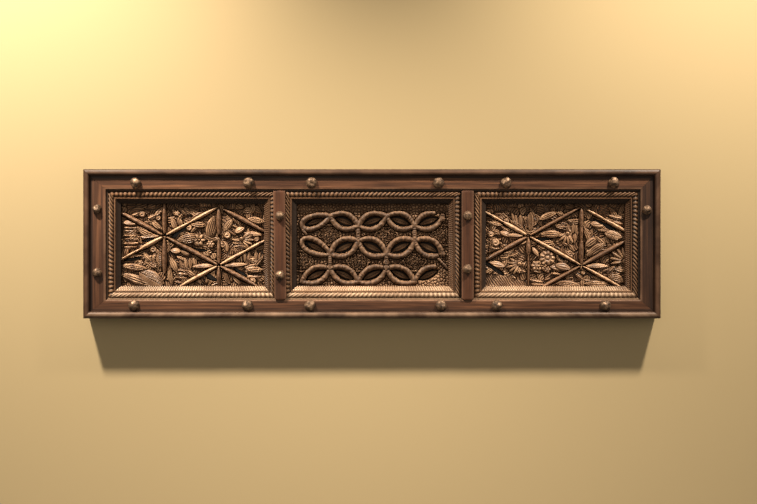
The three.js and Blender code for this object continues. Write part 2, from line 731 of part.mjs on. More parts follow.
const boards = {
  left: [leftBay, (bay, opening) =>
    starBoard(bay, opening, STAR_SHIFT.left, LEFT_ARMS, LEFT_LEAVES, LEFT_FANS, LEFT_SLITS, () => [])],
  centre: [centreBay, loopBoard],
  right: [rightBay, (bay, opening) =>
    starBoard(bay, opening, STAR_SHIFT.right, RIGHT_ARMS, RIGHT_LEAVES, RIGHT_FANS, RIGHT_SLITS, bowl)],
};
Object.entries(boards).forEach(([name, [bay, carve]]) => {
  const opening = inset(bay, MOULDING_WIDTH);
  mitredRing(bay, opening, mouldingSection).forEach(({ side, bar }) => {
    place("moulding_" + name + "_" + side, bar, mouldingWood());
  });
  place("panel_" + name, carve(bay, opening), carvedWood());
});

export default screen;
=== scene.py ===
"""A carved wooden wall screen: rounded rim, nailed rails, rope mouldings and three carved boards."""
import math

import bmesh
import bpy
import numpy as np
from mathutils import Matrix, Vector


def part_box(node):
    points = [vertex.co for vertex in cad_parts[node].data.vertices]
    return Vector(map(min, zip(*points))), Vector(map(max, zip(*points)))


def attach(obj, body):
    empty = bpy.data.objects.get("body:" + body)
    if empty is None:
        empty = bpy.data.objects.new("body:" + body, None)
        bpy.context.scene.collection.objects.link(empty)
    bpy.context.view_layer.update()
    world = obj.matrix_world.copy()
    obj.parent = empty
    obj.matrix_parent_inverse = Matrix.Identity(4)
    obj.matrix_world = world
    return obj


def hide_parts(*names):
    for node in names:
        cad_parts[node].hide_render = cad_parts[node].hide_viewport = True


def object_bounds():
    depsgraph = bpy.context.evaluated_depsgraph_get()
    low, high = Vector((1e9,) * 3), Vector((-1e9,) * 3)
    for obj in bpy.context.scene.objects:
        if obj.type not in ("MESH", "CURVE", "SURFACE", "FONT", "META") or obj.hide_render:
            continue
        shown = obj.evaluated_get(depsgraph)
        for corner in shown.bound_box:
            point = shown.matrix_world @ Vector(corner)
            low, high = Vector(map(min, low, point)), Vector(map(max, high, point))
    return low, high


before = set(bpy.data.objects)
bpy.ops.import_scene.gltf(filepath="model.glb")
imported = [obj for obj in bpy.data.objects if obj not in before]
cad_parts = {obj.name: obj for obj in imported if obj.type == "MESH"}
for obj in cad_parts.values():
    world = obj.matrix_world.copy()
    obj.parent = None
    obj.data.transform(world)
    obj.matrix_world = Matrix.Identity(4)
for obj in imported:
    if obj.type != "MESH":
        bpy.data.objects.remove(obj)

MM = 0.001
cad_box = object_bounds()

# The rim: four boards of dark red-brown wood on edge, mitred at the corners, with a rounded bead
# worked along the front. It was waxed often and rubbed shiny along the bead, and it is glued and
# pinned round the rails. The bottom board's bead crest is painted paler still, a painted highlight
# from the light above.
RIM_WIDTH = 17
RIM_CREST = 52
RIM_CREST_INSET = 7.5
RIM_SHOULDER = 46
RIM_BEAD_WIDTH = 14
RIM_GROOVE = 43.6
RIM_BEAD_POINTS = 16
MITRE_BACK = 0.24
RIM_STEP = 5
SHARP_ANGLE = 38
CORNERS = {"top": (0, 1), "left": (1, 2), "bottom": (2, 3), "right": (3, 0)}
GRAIN = {"top": "x", "left": "z", "bottom": "x", "right": "z"}
GRAIN_PACES = (260, 7)
STAIN_PACES = (24, 3.5)


def add_node(tree, kind, **settings):
    """One shader node with its sockets and properties set by name."""
    node = tree.nodes.new(kind)
    for key, value in settings.items():
        if key in node.inputs:
            node.inputs[key].default_value = value
        else:
            setattr(node, key, value)
    return node


def tone_ramp(tree, stops):
    ramp = tree.nodes.new("ShaderNodeValToRGB")
    while len(ramp.color_ramp.elements) < len(stops):
        ramp.color_ramp.elements.new(0.5)
    for element, (place, tone) in zip(ramp.color_ramp.elements, stops):
        element.position = place
        element.color = (*tone, 1)
    return ramp


def stretched(tree, source, from_low, from_high, to_low, to_high):
    """Maps a texture's usual values to others, such as a roughness."""
    node = tree.nodes.new("ShaderNodeMapRange")
    names = ("From Min", "From Max", "To Min", "To Max")
    for name, value in zip(names, (from_low, from_high, to_low, to_high)):
        node.inputs[name].default_value = value
    tree.links.new(source, node.inputs["Value"])
    return node.outputs["Result"]


def noise_along(tree, axis, across_pace, along_pace, **settings):
    """Noise drawn out along one axis of the object; its paces are waves in a metre."""
    scale = Vector((across_pace, across_pace, across_pace))
    scale["xyz".index(axis)] = along_pace
    places = add_node(tree, "ShaderNodeTexCoord")
    stretch = add_node(tree, "ShaderNodeMapping", Scale=scale)
    noise = add_node(tree, "ShaderNodeTexNoise", Scale=1.0, **settings)
    tree.links.new(places.outputs["Object"], stretch.inputs["Vector"])
    tree.links.new(stretch.outputs["Vector"], noise.inputs["Vector"])
    return noise.outputs["Fac"]


def grained_wood(name, tones, along, rubbed=None, hollow=None, sheen=(0.42, 0.68), polish=0.22):
    """Old wood with its grain along one axis; rubbed and hollow colour what the carving says: wear,
    grime and dust, and also painted highlight and painted shade.
    """
    material = bpy.data.materials.new(name)
    material.use_nodes = True
    tree = material.node_tree
    link = tree.links.new
    shader = tree.nodes["Principled BSDF"]
    shader.inputs["Specular IOR Level"].default_value = polish
    grain = noise_along(tree, along, *GRAIN_PACES, Detail=7.0, Roughness=0.62, Distortion=0.35)
    broad = noise_along(tree, along, *STAIN_PACES, Detail=4.0, Roughness=0.55)
    ramp = tone_ramp(tree, [(0.3, tones[0]), (0.5, tones[1]), (0.72, tones[2])])
    link(grain, ramp.inputs["Fac"])
    stain = tone_ramp(tree, [(0.3, (0.45, 0.42, 0.4)), (0.55, (0.9, 0.9, 0.9)),
                             (0.75, (1.25, 1.2, 1.1))])
    link(broad, stain.inputs["Fac"])
    stained = add_node(tree, "ShaderNodeMix", data_type="RGBA", blend_type="MULTIPLY")
    stained.inputs[0].default_value = 1
    link(ramp.outputs["Color"], stained.inputs[6])
    link(stain.outputs["Color"], stained.inputs[7])
    colour = stained.outputs[2]
    # Rubbed mixes in wear and painted highlight; hollow mixes in grime, dust and painted shade.
    for attribute, tone in (("rubbed", rubbed), ("hollow", hollow)):
        if tone is None:
            continue
        told = add_node(tree, "ShaderNodeAttribute", attribute_name=attribute)
        mix = add_node(tree, "ShaderNodeMix", data_type="RGBA", blend_type="MIX")
        link(told.outputs["Fac"], mix.inputs[0])
        link(colour, mix.inputs[6])
        mix.inputs[7].default_value = (*tone, 1)
        colour = mix.outputs[2]
    link(colour, shader.inputs["Base Color"])
    link(stretched(tree, broad, 0.3, 0.7, *sheen), shader.inputs["Roughness"])
    relief = add_node(tree, "ShaderNodeBump", Strength=0.5, Distance=0.0005)
    link(grain, relief.inputs["Height"])
    link(relief.outputs["Normal"], shader.inputs["Normal"])
    return material


def rectangle(left, right, bottom, top):
    """Corners of a rectangle on the wall, in the order that the four sides of a frame follow."""
    return np.array([(right, top), (left, top), (left, bottom), (right, bottom)])


def mesh_of(shape, name):
    mesh = bpy.data.meshes.new(name)
    shape.to_mesh(mesh)
    shape.free()
    return mesh


def mitred_length(outer, inner, side, section, step):
    """One side of a frame: its section drawn once, drawn out and cut across every few millimetres.
    Each point then moves to its place between the frame's outer and inner corners."""
    start, end = CORNERS[side]
    run = float(np.linalg.norm(outer[end] - outer[start]))
    width = max(inset for inset, _ in section)
    shape = bmesh.new()
    points = [shape.verts.new((inset, 0, height)) for inset, height in section]
    outline = [shape.edges.new((a, b)) for a, b in zip(points, points[1:] + points[:1])]
    shape.faces.new(points)
    drawn = bmesh.ops.extrude_edge_only(shape, edges=outline)["geom"]
    far = [part for part in drawn if isinstance(part, bmesh.types.BMVert)]
    bmesh.ops.translate(shape, verts=far, vec=(0, 1, 0))
    last_edges = [part for part in drawn if isinstance(part, bmesh.types.BMEdge)
                  and all(vert in far for vert in part.verts)]
    bmesh.ops.contextual_create(shape, geom=last_edges)
    lengths = [edge for edge in shape.edges if abs(edge.verts[0].co.y - edge.verts[1].co.y) > 0.5]
    bmesh.ops.subdivide_edges(shape, edges=lengths, cuts=max(1, int(run / step)), use_grid_fill=True)
    bmesh.ops.recalc_face_normals(shape, faces=shape.faces)
    return mesh_of(shape, side), run, width


def points_of(mesh):
    flat = np.empty(len(mesh.vertices) * 3)
    mesh.vertices.foreach_get("co", flat)
    return flat.reshape(-1, 3)


def lay_along(mesh, spots, outer, inner, side, width):
    """Moves points given as inset, share of the length and height to their place, in metres."""
    start, end = CORNERS[side]
    across = (spots[:, 0] / width)[:, None]
    share = spots[:, 1][:, None]
    way = (outer[end] - outer[start]) / np.linalg.norm(outer[end] - outer[start])
    first = outer[start] * (1 - across) + inner[start] * across + way * MITRE_BACK
    last = outer[end] * (1 - across) + inner[end] * across - way * MITRE_BACK
    flat = first * (1 - share) + last * share
    placed = np.column_stack([flat[:, 0], -spots[:, 2], flat[:, 1]]) * MM
    mesh.vertices.foreach_set("co", placed.ravel())
    mesh.update()


def waver(along, seed, size):
    """The slow unevenness of an edge worked by hand."""
    rng = np.random.default_rng(seed)
    total = np.zeros_like(along)
    for length in (190, 83, 41, 17):
        total += np.sin(along * 2 * np.pi / length + rng.uniform(0, 6.28)) * (length / 190) ** 0.5
    return total * size / 2


def tell(mesh, name, values):
    """Gives each point of a mesh a number that its material reads."""
    mesh.attributes.new(name, "FLOAT", "POINT").data.foreach_set("value", values.astype(np.float32))


def finish_piece(name, mesh, node, material):
    mesh.name = name
    mesh.materials.append(material)
    mesh.shade_smooth()
    mesh.set_sharp_from_angle(angle=math.radians(SHARP_ANGLE))
    piece = bpy.data.objects.new(name, mesh)
    bpy.context.collection.objects.link(piece)
    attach(piece, "root")
    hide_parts(node)
    return piece


def node_box(name):
    low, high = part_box(name)
    return np.array(low) / MM, np.array(high) / MM


def frame_corners(names):
    """Outer and inner corners of four CAD sides, named top, left, bottom and right."""
    boxes = {side: node_box(name) for side, name in names.items()}
    top, left, bottom, right = (boxes[side] for side in ("top", "left", "bottom", "right"))
    outer = rectangle(left[0][0], right[1][0], bottom[0][2], top[1][2])
    inner = rectangle(left[1][0], right[0][0], bottom[1][2], top[0][2])
    return outer, inner


def rim_section():
    bead = []
    for i in range(RIM_BEAD_POINTS + 1):
        share = i / RIM_BEAD_POINTS
        inset = RIM_BEAD_WIDTH * (1 - math.cos(math.pi * share)) / 2
        foot = RIM_SHOULDER + (RIM_GROOVE - RIM_SHOULDER) * share
        lean = RIM_CREST_INSET if inset < RIM_CREST_INSET else RIM_BEAD_WIDTH - RIM_CREST_INSET
        swell = math.sqrt(max(0, 1 - ((inset - RIM_CREST_INSET) / lean) ** 2))
        bead.append((inset, foot + (RIM_CREST - foot) * swell))
    side = [(0, 0), (0, 15), (0, 30)]
    return side + bead + [(RIM_WIDTH, RIM_GROOVE), (RIM_WIDTH, 0)]


RIM_CREST_TONE = (0.11, 0.057, 0.031)
# Painted highlight: the bottom bead's crest is painted paler, as if lit from above.
RIM_PAINTED_HIGHLIGHT_TONES = {"bottom": (0.26, 0.16, 0.098)}
RIM_TONES = ((0.00828, 0.0034, 0.00143), (0.0262, 0.0102, 0.00392), (0.0585, 0.0238, 0.00924))
rim_outer, rim_inner = frame_corners({side: "rim_" + side for side in CORNERS})
for side in CORNERS:
    mesh, run, width = mitred_length(rim_outer, rim_inner, side, rim_section(), RIM_STEP)
    spots = points_of(mesh)
    along = spots[:, 1] * run
    front = np.clip((spots[:, 2] - RIM_GROOVE) / (RIM_CREST - RIM_GROOVE), 0, 1)
    spots[:, 2] -= front * (0.5 + 0.5 * waver(along, 3 + len(side), 0.6))
    tell(mesh, "rubbed", front ** 3 * np.clip(0.35 + 0.3 * waver(along, 5 + len(side), 1), 0, 0.8))
    lay_along(mesh, spots, rim_outer, rim_inner, side, width)
    wood = grained_wood("rim_wood_" + side, RIM_TONES, GRAIN[side],
                        rubbed=RIM_PAINTED_HIGHLIGHT_TONES.get(side, RIM_CREST_TONE))
    finish_piece("rim_board_" + side, mesh, "rim_" + side, wood)

# Rails and stiles: flat boards of red-brown wood with long straight grain, mitred at the corners
# and nailed to the ground work. Their inner corners are rounded by wear, and along the rim they
# are painted darker, for the wax and dust that sit there and as the painted shadow of the rim's bead.
RAIL_FACE = 44
RAIL_ARRIS = 1.6
RAIL_FACE_POINTS = 9
RAIL_STEP = 6
RAIL_WORN_EDGE = 4
RAIL_DUST_AND_SHADOW_EDGE = 3.5
RAIL_NODES = {"top": "rail_top", "left": "stile_left", "bottom": "rail_bottom", "right": "stile_right"}
RAIL_TONES = ((0.0182, 0.00708, 0.00322), (0.0622, 0.024, 0.0102), (0.133, 0.0566, 0.0257))
# Painted light and shade: the top rail is painted lighter, as nearer the lamps, and the right stile darker,
# as the light falls off there.
RAIL_PAINTED_LIGHT_SCALES = {"right": 0.42, "top": 1.18}


def rail_section(width):
    arris = [(width - RAIL_ARRIS * (1 - math.sin(a)), RAIL_FACE - RAIL_ARRIS * (1 - math.cos(a)))
             for a in (math.pi / 2, math.pi / 3, math.pi / 6, 0)]
    face = [(width * k / RAIL_FACE_POINTS, RAIL_FACE) for k in range(1, RAIL_FACE_POINTS)]
    return [(0, 0), (0, RAIL_FACE)] + face[:-1] + arris[::-1] + [(width, 0)]


rail_outer, rail_inner = frame_corners(RAIL_NODES)
for side, node in RAIL_NODES.items():
    low, high = node_box(node)
    width = high[2] - low[2] if side in ("top", "bottom") else high[0] - low[0]
    mesh, run, width = mitred_length(rail_outer, rail_inner, side, rail_section(width), RAIL_STEP)
    spots = points_of(mesh)
    along = spots[:, 1] * run
    face = spots[:, 2] > RAIL_FACE - 2
    dip = 0.25 + 0.25 * waver(along + 3 * spots[:, 0], 11 + len(side), 0.5) * np.sin(spots[:, 0] / 3.1)
    spots[:, 2] -= np.where(face, np.clip(dip, 0, 0.7), 0)
    corner = np.clip(1 - (width - spots[:, 0]) / RAIL_WORN_EDGE, 0, 1) * face
    tell(mesh, "rubbed", corner * np.clip(0.5 + 0.3 * waver(along, 17 + len(side), 1), 0, 0.9))
    # Dust and painted shadow: a dark band along each face's edge by the rim, where the rim's bead casts its
    # shadow.
    tell(mesh, "hollow", np.clip(1 - spots[:, 0] / RAIL_DUST_AND_SHADOW_EDGE, 0, 1) * face * 0.85)
    lay_along(mesh, spots, rail_outer, rail_inner, side, width)
    # Painted light on the top rail and painted shade on the right stile, scaled as given above.
    tones = [tuple(part * RAIL_PAINTED_LIGHT_SCALES.get(side, 1) for part in tone) for tone in RAIL_TONES]
    wood = grained_wood(node + "_wood", tones, GRAIN[side],
                        rubbed=(0.22, 0.12, 0.07), hollow=(0.008, 0.004, 0.003))
    finish_piece(node + "_board", mesh, node, wood)

# Posts between the bays: plain battens hidden under the straps. They keep their solids and only
# get the rails' wood.
for side in ("left", "right"):
    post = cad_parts["post_" + side]
    post.data.materials.clear()
    post.data.materials.append(bpy.data.materials["stile_left_wood"])

# Straps: flat battens of the same red-brown wood nailed over the posts, rubbed smooth, with their
# corners rounded off. The left one sits a little askew.
STRAP_SIZE = (24.5, 5.0, 226.5)
STRAP_TILT = {"left": 0.011, "right": 0.0}
STRAP_CORNER = 5
STRAP_ARRIS = 1.1
STRAP_CUTS_UP = 46
STRAP_CUTS_ACROSS = (-9, -6, -3, 0, 3, 6, 9)
STRAP_TONES = ((0.019, 0.00651, 0.00225), (0.0462, 0.0153, 0.00527), (0.0713, 0.0249, 0.009))


def cut_through(shape, place, facing, clear_outer=False):
    bmesh.ops.bisect_plane(shape, geom=shape.verts[:] + shape.edges[:] + shape.faces[:], plane_co=place,
                           plane_no=facing, clear_outer=clear_outer)


for side in ("left", "right"):
    low, high = node_box("strap_" + side)
    shape = bmesh.new()
    bmesh.ops.create_cube(shape, size=1)
    bmesh.ops.scale(shape, verts=shape.verts, vec=STRAP_SIZE)
    upright = [edge for edge in shape.edges if abs(edge.verts[0].co.y - edge.verts[1].co.y) > 1
               and edge.verts[0].co.z < 0]
    bmesh.ops.bevel(shape, geom=upright, offset=STRAP_CORNER, segments=6, profile=0.5, affect="EDGES",
                    material=-1)
    front = [edge for edge in shape.edges if all(vert.co.y < 0 for vert in edge.verts)]
    bmesh.ops.bevel(shape, geom=front, offset=STRAP_ARRIS, segments=3, profile=0.5, affect="EDGES",
                    material=-1)
    for k in range(1, STRAP_CUTS_UP):
        cut_through(shape, (0, 0, STRAP_SIZE[2] * (k / STRAP_CUTS_UP - 0.5)), (0, 0, 1))
    for across in STRAP_CUTS_ACROSS:
        cut_through(shape, (across, 0, 0), (1, 0, 0))
    mesh = mesh_of(shape, "strap")
    spots = points_of(mesh)
    front = spots[:, 1] < -1
    dip = 0.2 + waver(spots[:, 2], 23 + len(side), 0.5) * np.cos(spots[:, 0] / 4)
    spots[:, 1] += front * np.clip(dip, 0, 0.8)
    tell(mesh, "rubbed", front * np.clip(np.abs(spots[:, 0]) / (STRAP_SIZE[0] / 2), 0, 1) ** 6 * 0.6)
    turn = Matrix.Rotation(-STRAP_TILT[side], 3, "Y")
    centre = (low + high) / 2
    placed = (spots @ np.array(turn).T + centre) * MM
    mesh.vertices.foreach_set("co", placed.ravel())
    wood = grained_wood("strap_wood_" + side, STRAP_TONES, "z", rubbed=(0.16, 0.08, 0.045))
    finish_piece("strap_board_" + side, mesh, "strap_" + side, wood)

# Mouldings: four mitred lengths round each board, carved from golden brown wood. From the outside
# in they have a flat fillet, a twisted rope between two grooves, a thin raised line and a plain or
# dotted slope down to the carving. The strands are worn low along the bottom. The gaps between the
# strands, the grooves, the outer fillet and the plain slopes are painted dark as shade, and the right
# side darker still; along the bottom the crests and dotted slope are painted pale as painted light
# from above, and along the top the crests are painted darker as shade.
MOULDING_FACE = 40
BACK_LEVEL = 20.3
ROPE_INSET = 4.2
ROPE_WIDTH = 11
ROPE_CREST = 42
ROPE_GROOVE = 37.6
GROOVES = (3.5, 19.5)
ROPE_POINTS = 12
SLOPE_POINTS = 9
STRAND_PITCH = 9.6
FILLET_WIDTH = 2.2
FILLET_FACE = 39
SIGHT_FACE = 32.5
MOULDING_TONES = ((0.045, 0.019, 0.00827), (0.113, 0.0521, 0.0229), (0.207, 0.102, 0.0477))
MOULDING_STEP = 0.95
SLOPE_INSET = ROPE_INSET + ROPE_WIDTH + 1.9 + FILLET_WIDTH
DOTTED_SIDES = ("bottom", "right")
DOT_PITCH = 5.6
MOULDING_CREST = (0.25, 0.142, 0.074)
# Painted light and shade: the top crests are painted darker and the bottom crests paler, as lit from above.
MOULDING_LIT_AND_SHADED_CRESTS = {"top": (0.2, 0.11, 0.057), "bottom": (0.62, 0.44, 0.29), "right": (0.25, 0.145, 0.078)}
# Painted shade: the near-black tone of the grooves, strand gaps and slopes; along the bottom it is painted
# paler, as lit from above.
MOULDING_HOLLOW = (0.012, 0.006, 0.003)
MOULDING_LIT_HOLLOWS = {"bottom": (0.17, 0.108, 0.066)}
STRAND_DEPTH = 2.6
WORN_STRAND_DEPTH = 1.0


def moulding_section(width):
    rope = []
    for i in range(ROPE_POINTS + 1):
        angle = math.pi * (1 - i / ROPE_POINTS)
        rope.append((ROPE_INSET + ROPE_WIDTH / 2 * (1 + math.cos(angle)),
                     ROPE_GROOVE + (ROPE_CREST - ROPE_GROOVE) * math.sin(angle)))
    end = ROPE_INSET + ROPE_WIDTH
    line = [(end + 0.9, ROPE_GROOVE), (end + 1.3, FILLET_FACE), (end + 1.1 + FILLET_WIDTH, FILLET_FACE),
            (SLOPE_INSET, ROPE_GROOVE)]
    slope = [(SLOPE_INSET + (width - SLOPE_INSET) * k / SLOPE_POINTS,
              ROPE_GROOVE + (SIGHT_FACE - ROPE_GROOVE) * k / SLOPE_POINTS)
             for k in range(1, SLOPE_POINTS + 1)]
    fillet = [(0, MOULDING_FACE), (1.7, MOULDING_FACE), (3.2, MOULDING_FACE)]
    return [(0, BACK_LEVEL)] + fillet + rope + line + slope + [(width, BACK_LEVEL)]


def work_slope(spots, run, width, dotted):
    """Hollows the plain slope a little or dots it, and says how dark it is painted as shade, over
    the plain slope and between the dots, and how pale its dots' tops are, as wear and painted light.
    """
    inset, height = spots[:, 0], spots[:, 2]
    share = np.clip((inset - SLOPE_INSET) / (width - SLOPE_INSET), 0, 1)
    on_slope = (share > 0.02) & (share < 0.98) & (height > BACK_LEVEL + 5)
    along = spots[:, 1] * run
    dots = np.cos(2 * math.pi * (along / DOT_PITCH + share)) * np.cos(2 * math.pi * (share * 1.5 + 0.25))
    carved = 0.7 * (1 - np.clip(dots * 1.5, -0.9, 1)) if dotted else 0.5 * np.sin(math.pi * share)
    spots[:, 2] -= np.where(on_slope, carved, 0)
    # Painted shade: the plain slope is painted nearly as dark as the hollows, the dotted one dark between
    # its dots.
    grime_and_shade = np.clip(0.2 - 0.8 * dots, 0, 1) * 0.6 if dotted else 0.94 + 0.05 * share
    # Wear and painted light on the dots' tops.
    rub_and_light = np.clip(0.35 + dots, 0, 1) * 0.8 if dotted else 0 * share
    return np.where(on_slope | (share >= 0.98), grime_and_shade, 0), np.where(on_slope, rub_and_light, 0)


def twist_rope(spots, run, seed, depth):
    """Works the strands into the round bead, and says how rubbed each point is and how dark it is
    painted as shade in the grooves, the outer fillet and the gaps between strands.
    """
    inset, height = spots[:, 0], spots[:, 2]
    middle = ROPE_INSET + ROPE_WIDTH / 2
    on_rope = (np.abs(inset - middle) < ROPE_WIDTH / 2 - 0.05) & (height > ROPE_GROOVE + 0.01)
    along = spots[:, 1] * run
    turn = np.arctan2((height - ROPE_GROOVE) / (ROPE_CREST - ROPE_GROOVE),
                      (inset - middle) / (ROPE_WIDTH / 2))
    phase = (along + waver(along, seed, 0.5)) / STRAND_PITCH + turn / math.pi * 1.15
    swell = np.abs(np.sin(math.pi * phase)) ** 0.75
    sink = np.where(on_rope, (1 - swell) * depth, 0)
    shrink = 1 - sink / (ROPE_WIDTH / 2)
    spots[:, 0] = np.where(on_rope, middle + (inset - middle) * shrink, inset)
    left = np.clip(shrink - 0.1 * (1 - swell), 0, 1)
    spots[:, 2] = np.where(on_rope, ROPE_GROOVE + (height - ROPE_GROOVE) * left, height)
    grooved = (inset > GROOVES[0]) & (inset < GROOVES[1])
    groove = np.clip((ROPE_GROOVE + 1.6 - height) / 1.6, 0, 1) * grooved
    # Painted shade: the grooves, the outer fillet and the gaps between the strands are painted dark.
    deep = np.where(on_rope, (1 - swell) ** 0.9, np.maximum(groove * 0.8, (inset < 3.6) * 0.85))
    rub_and_light = np.where(on_rope, np.clip(swell - 0.5, 0, 1) * np.sin(turn) * 1.4, 0)
    rub_and_light += np.clip((height - FILLET_FACE + 0.3) / 0.5, 0, 1) * (~on_rope) * 0.1
    return deep, np.clip(rub_and_light, 0, 1)


openings = {}
for bay in ("left", "centre", "right"):
    bay_outer, bay_inner = frame_corners({side: "moulding_%s_%s" % (bay, side) for side in CORNERS})
    openings[bay] = bay_inner
    for side in CORNERS:
        low, high = node_box("moulding_%s_%s" % (bay, side))
        width = min(high[0] - low[0], high[2] - low[2])
        section = moulding_section(width)
        mesh, run, width = mitred_length(bay_outer, bay_inner, side, section, MOULDING_STEP)
        spots = points_of(mesh)
        seed = 31 + len(bay) * 7 + len(side)
        deep, rub_and_light = twist_rope(spots, run, seed, WORN_STRAND_DEPTH if side == "bottom" else STRAND_DEPTH)
        grime_and_shade, wear_and_light = work_slope(spots, run, width, side in DOTTED_SIDES)
        # Painted light and shade: the bottom slope is painted less dark and its dots paler, as lit from
        # above, and the right side is painted darker as shade.
        deep = np.maximum(deep, grime_and_shade * (0.6 if side == "bottom" else 1))
        rub_and_light = np.maximum(rub_and_light, wear_and_light * (1 if side == "bottom" else 0.3))
        deep = np.clip(deep + (0.25 if side == "right" else 0), 0, 1)
        along = spots[:, 1] * run
        front = spots[:, 2] > BACK_LEVEL + 5
        spots[:, 2] -= front * np.clip(0.15 + waver(along, seed + 1, 0.35), 0, 0.6)
        tell(mesh, "hollow", deep)
        tell(mesh, "rubbed", rub_and_light * np.clip(0.75 + waver(along, seed + 2, 0.5), 0.2, 1))
        lay_along(mesh, spots, bay_outer, bay_inner, side, width)
        wood = grained_wood("moulding_wood_%s_%s" % (bay, side), MOULDING_TONES, GRAIN[side],
                            rubbed=MOULDING_LIT_AND_SHADED_CRESTS.get(side, MOULDING_CREST),
                            hollow=MOULDING_LIT_HOLLOWS.get(side, MOULDING_HOLLOW), polish=0.2)
        finish_piece("rope_moulding_%s_%s" % (bay, side), mesh, "moulding_%s_%s" % (bay, side),
                     wood)

# Carved boards: each is one board of golden brown wood, sunk and carved in deep relief. Arms, rods
# and leaves are left standing near the old surface, the ground between them is cut down, and the
# narrow hollows beside them go nearly through and are painted near black as shade. Creases are
# painted darker as shade, and crests are painted pale, partly as wear and partly as painted highlight.
GROUND = 18
HOLLOW = 8
FOLIAGE_CREST = 27
ARM_CREST = 30
BOARD_THICKNESS = 20
BOARD_GAP = 0.6
GRID_STEP = 0.76
EDGE_MARGIN = 6
BACK_GRIME = 0.35
LINE_PITCH = 4.2
VEIN_PITCH = 4.6
SCORE_PITCH = 4.8
PATCH_SIZE = 19
BED_LEAVES = 70
BED_CREST = GROUND + 6
BED_LEAF_LENGTHS = (20, 38)
BED_LEAF_WIDTHS = (9, 15)
BED_ROSETTE_SHARE = 0.14
BED_ROSETTE_RADII = (5, 8)
LEAF_HUES = (-0.3, 0.1)
CARVED_TONES = ((0.0622, 0.0292, 0.0144), (0.128, 0.0635, 0.0321), (0.203, 0.108, 0.0574))


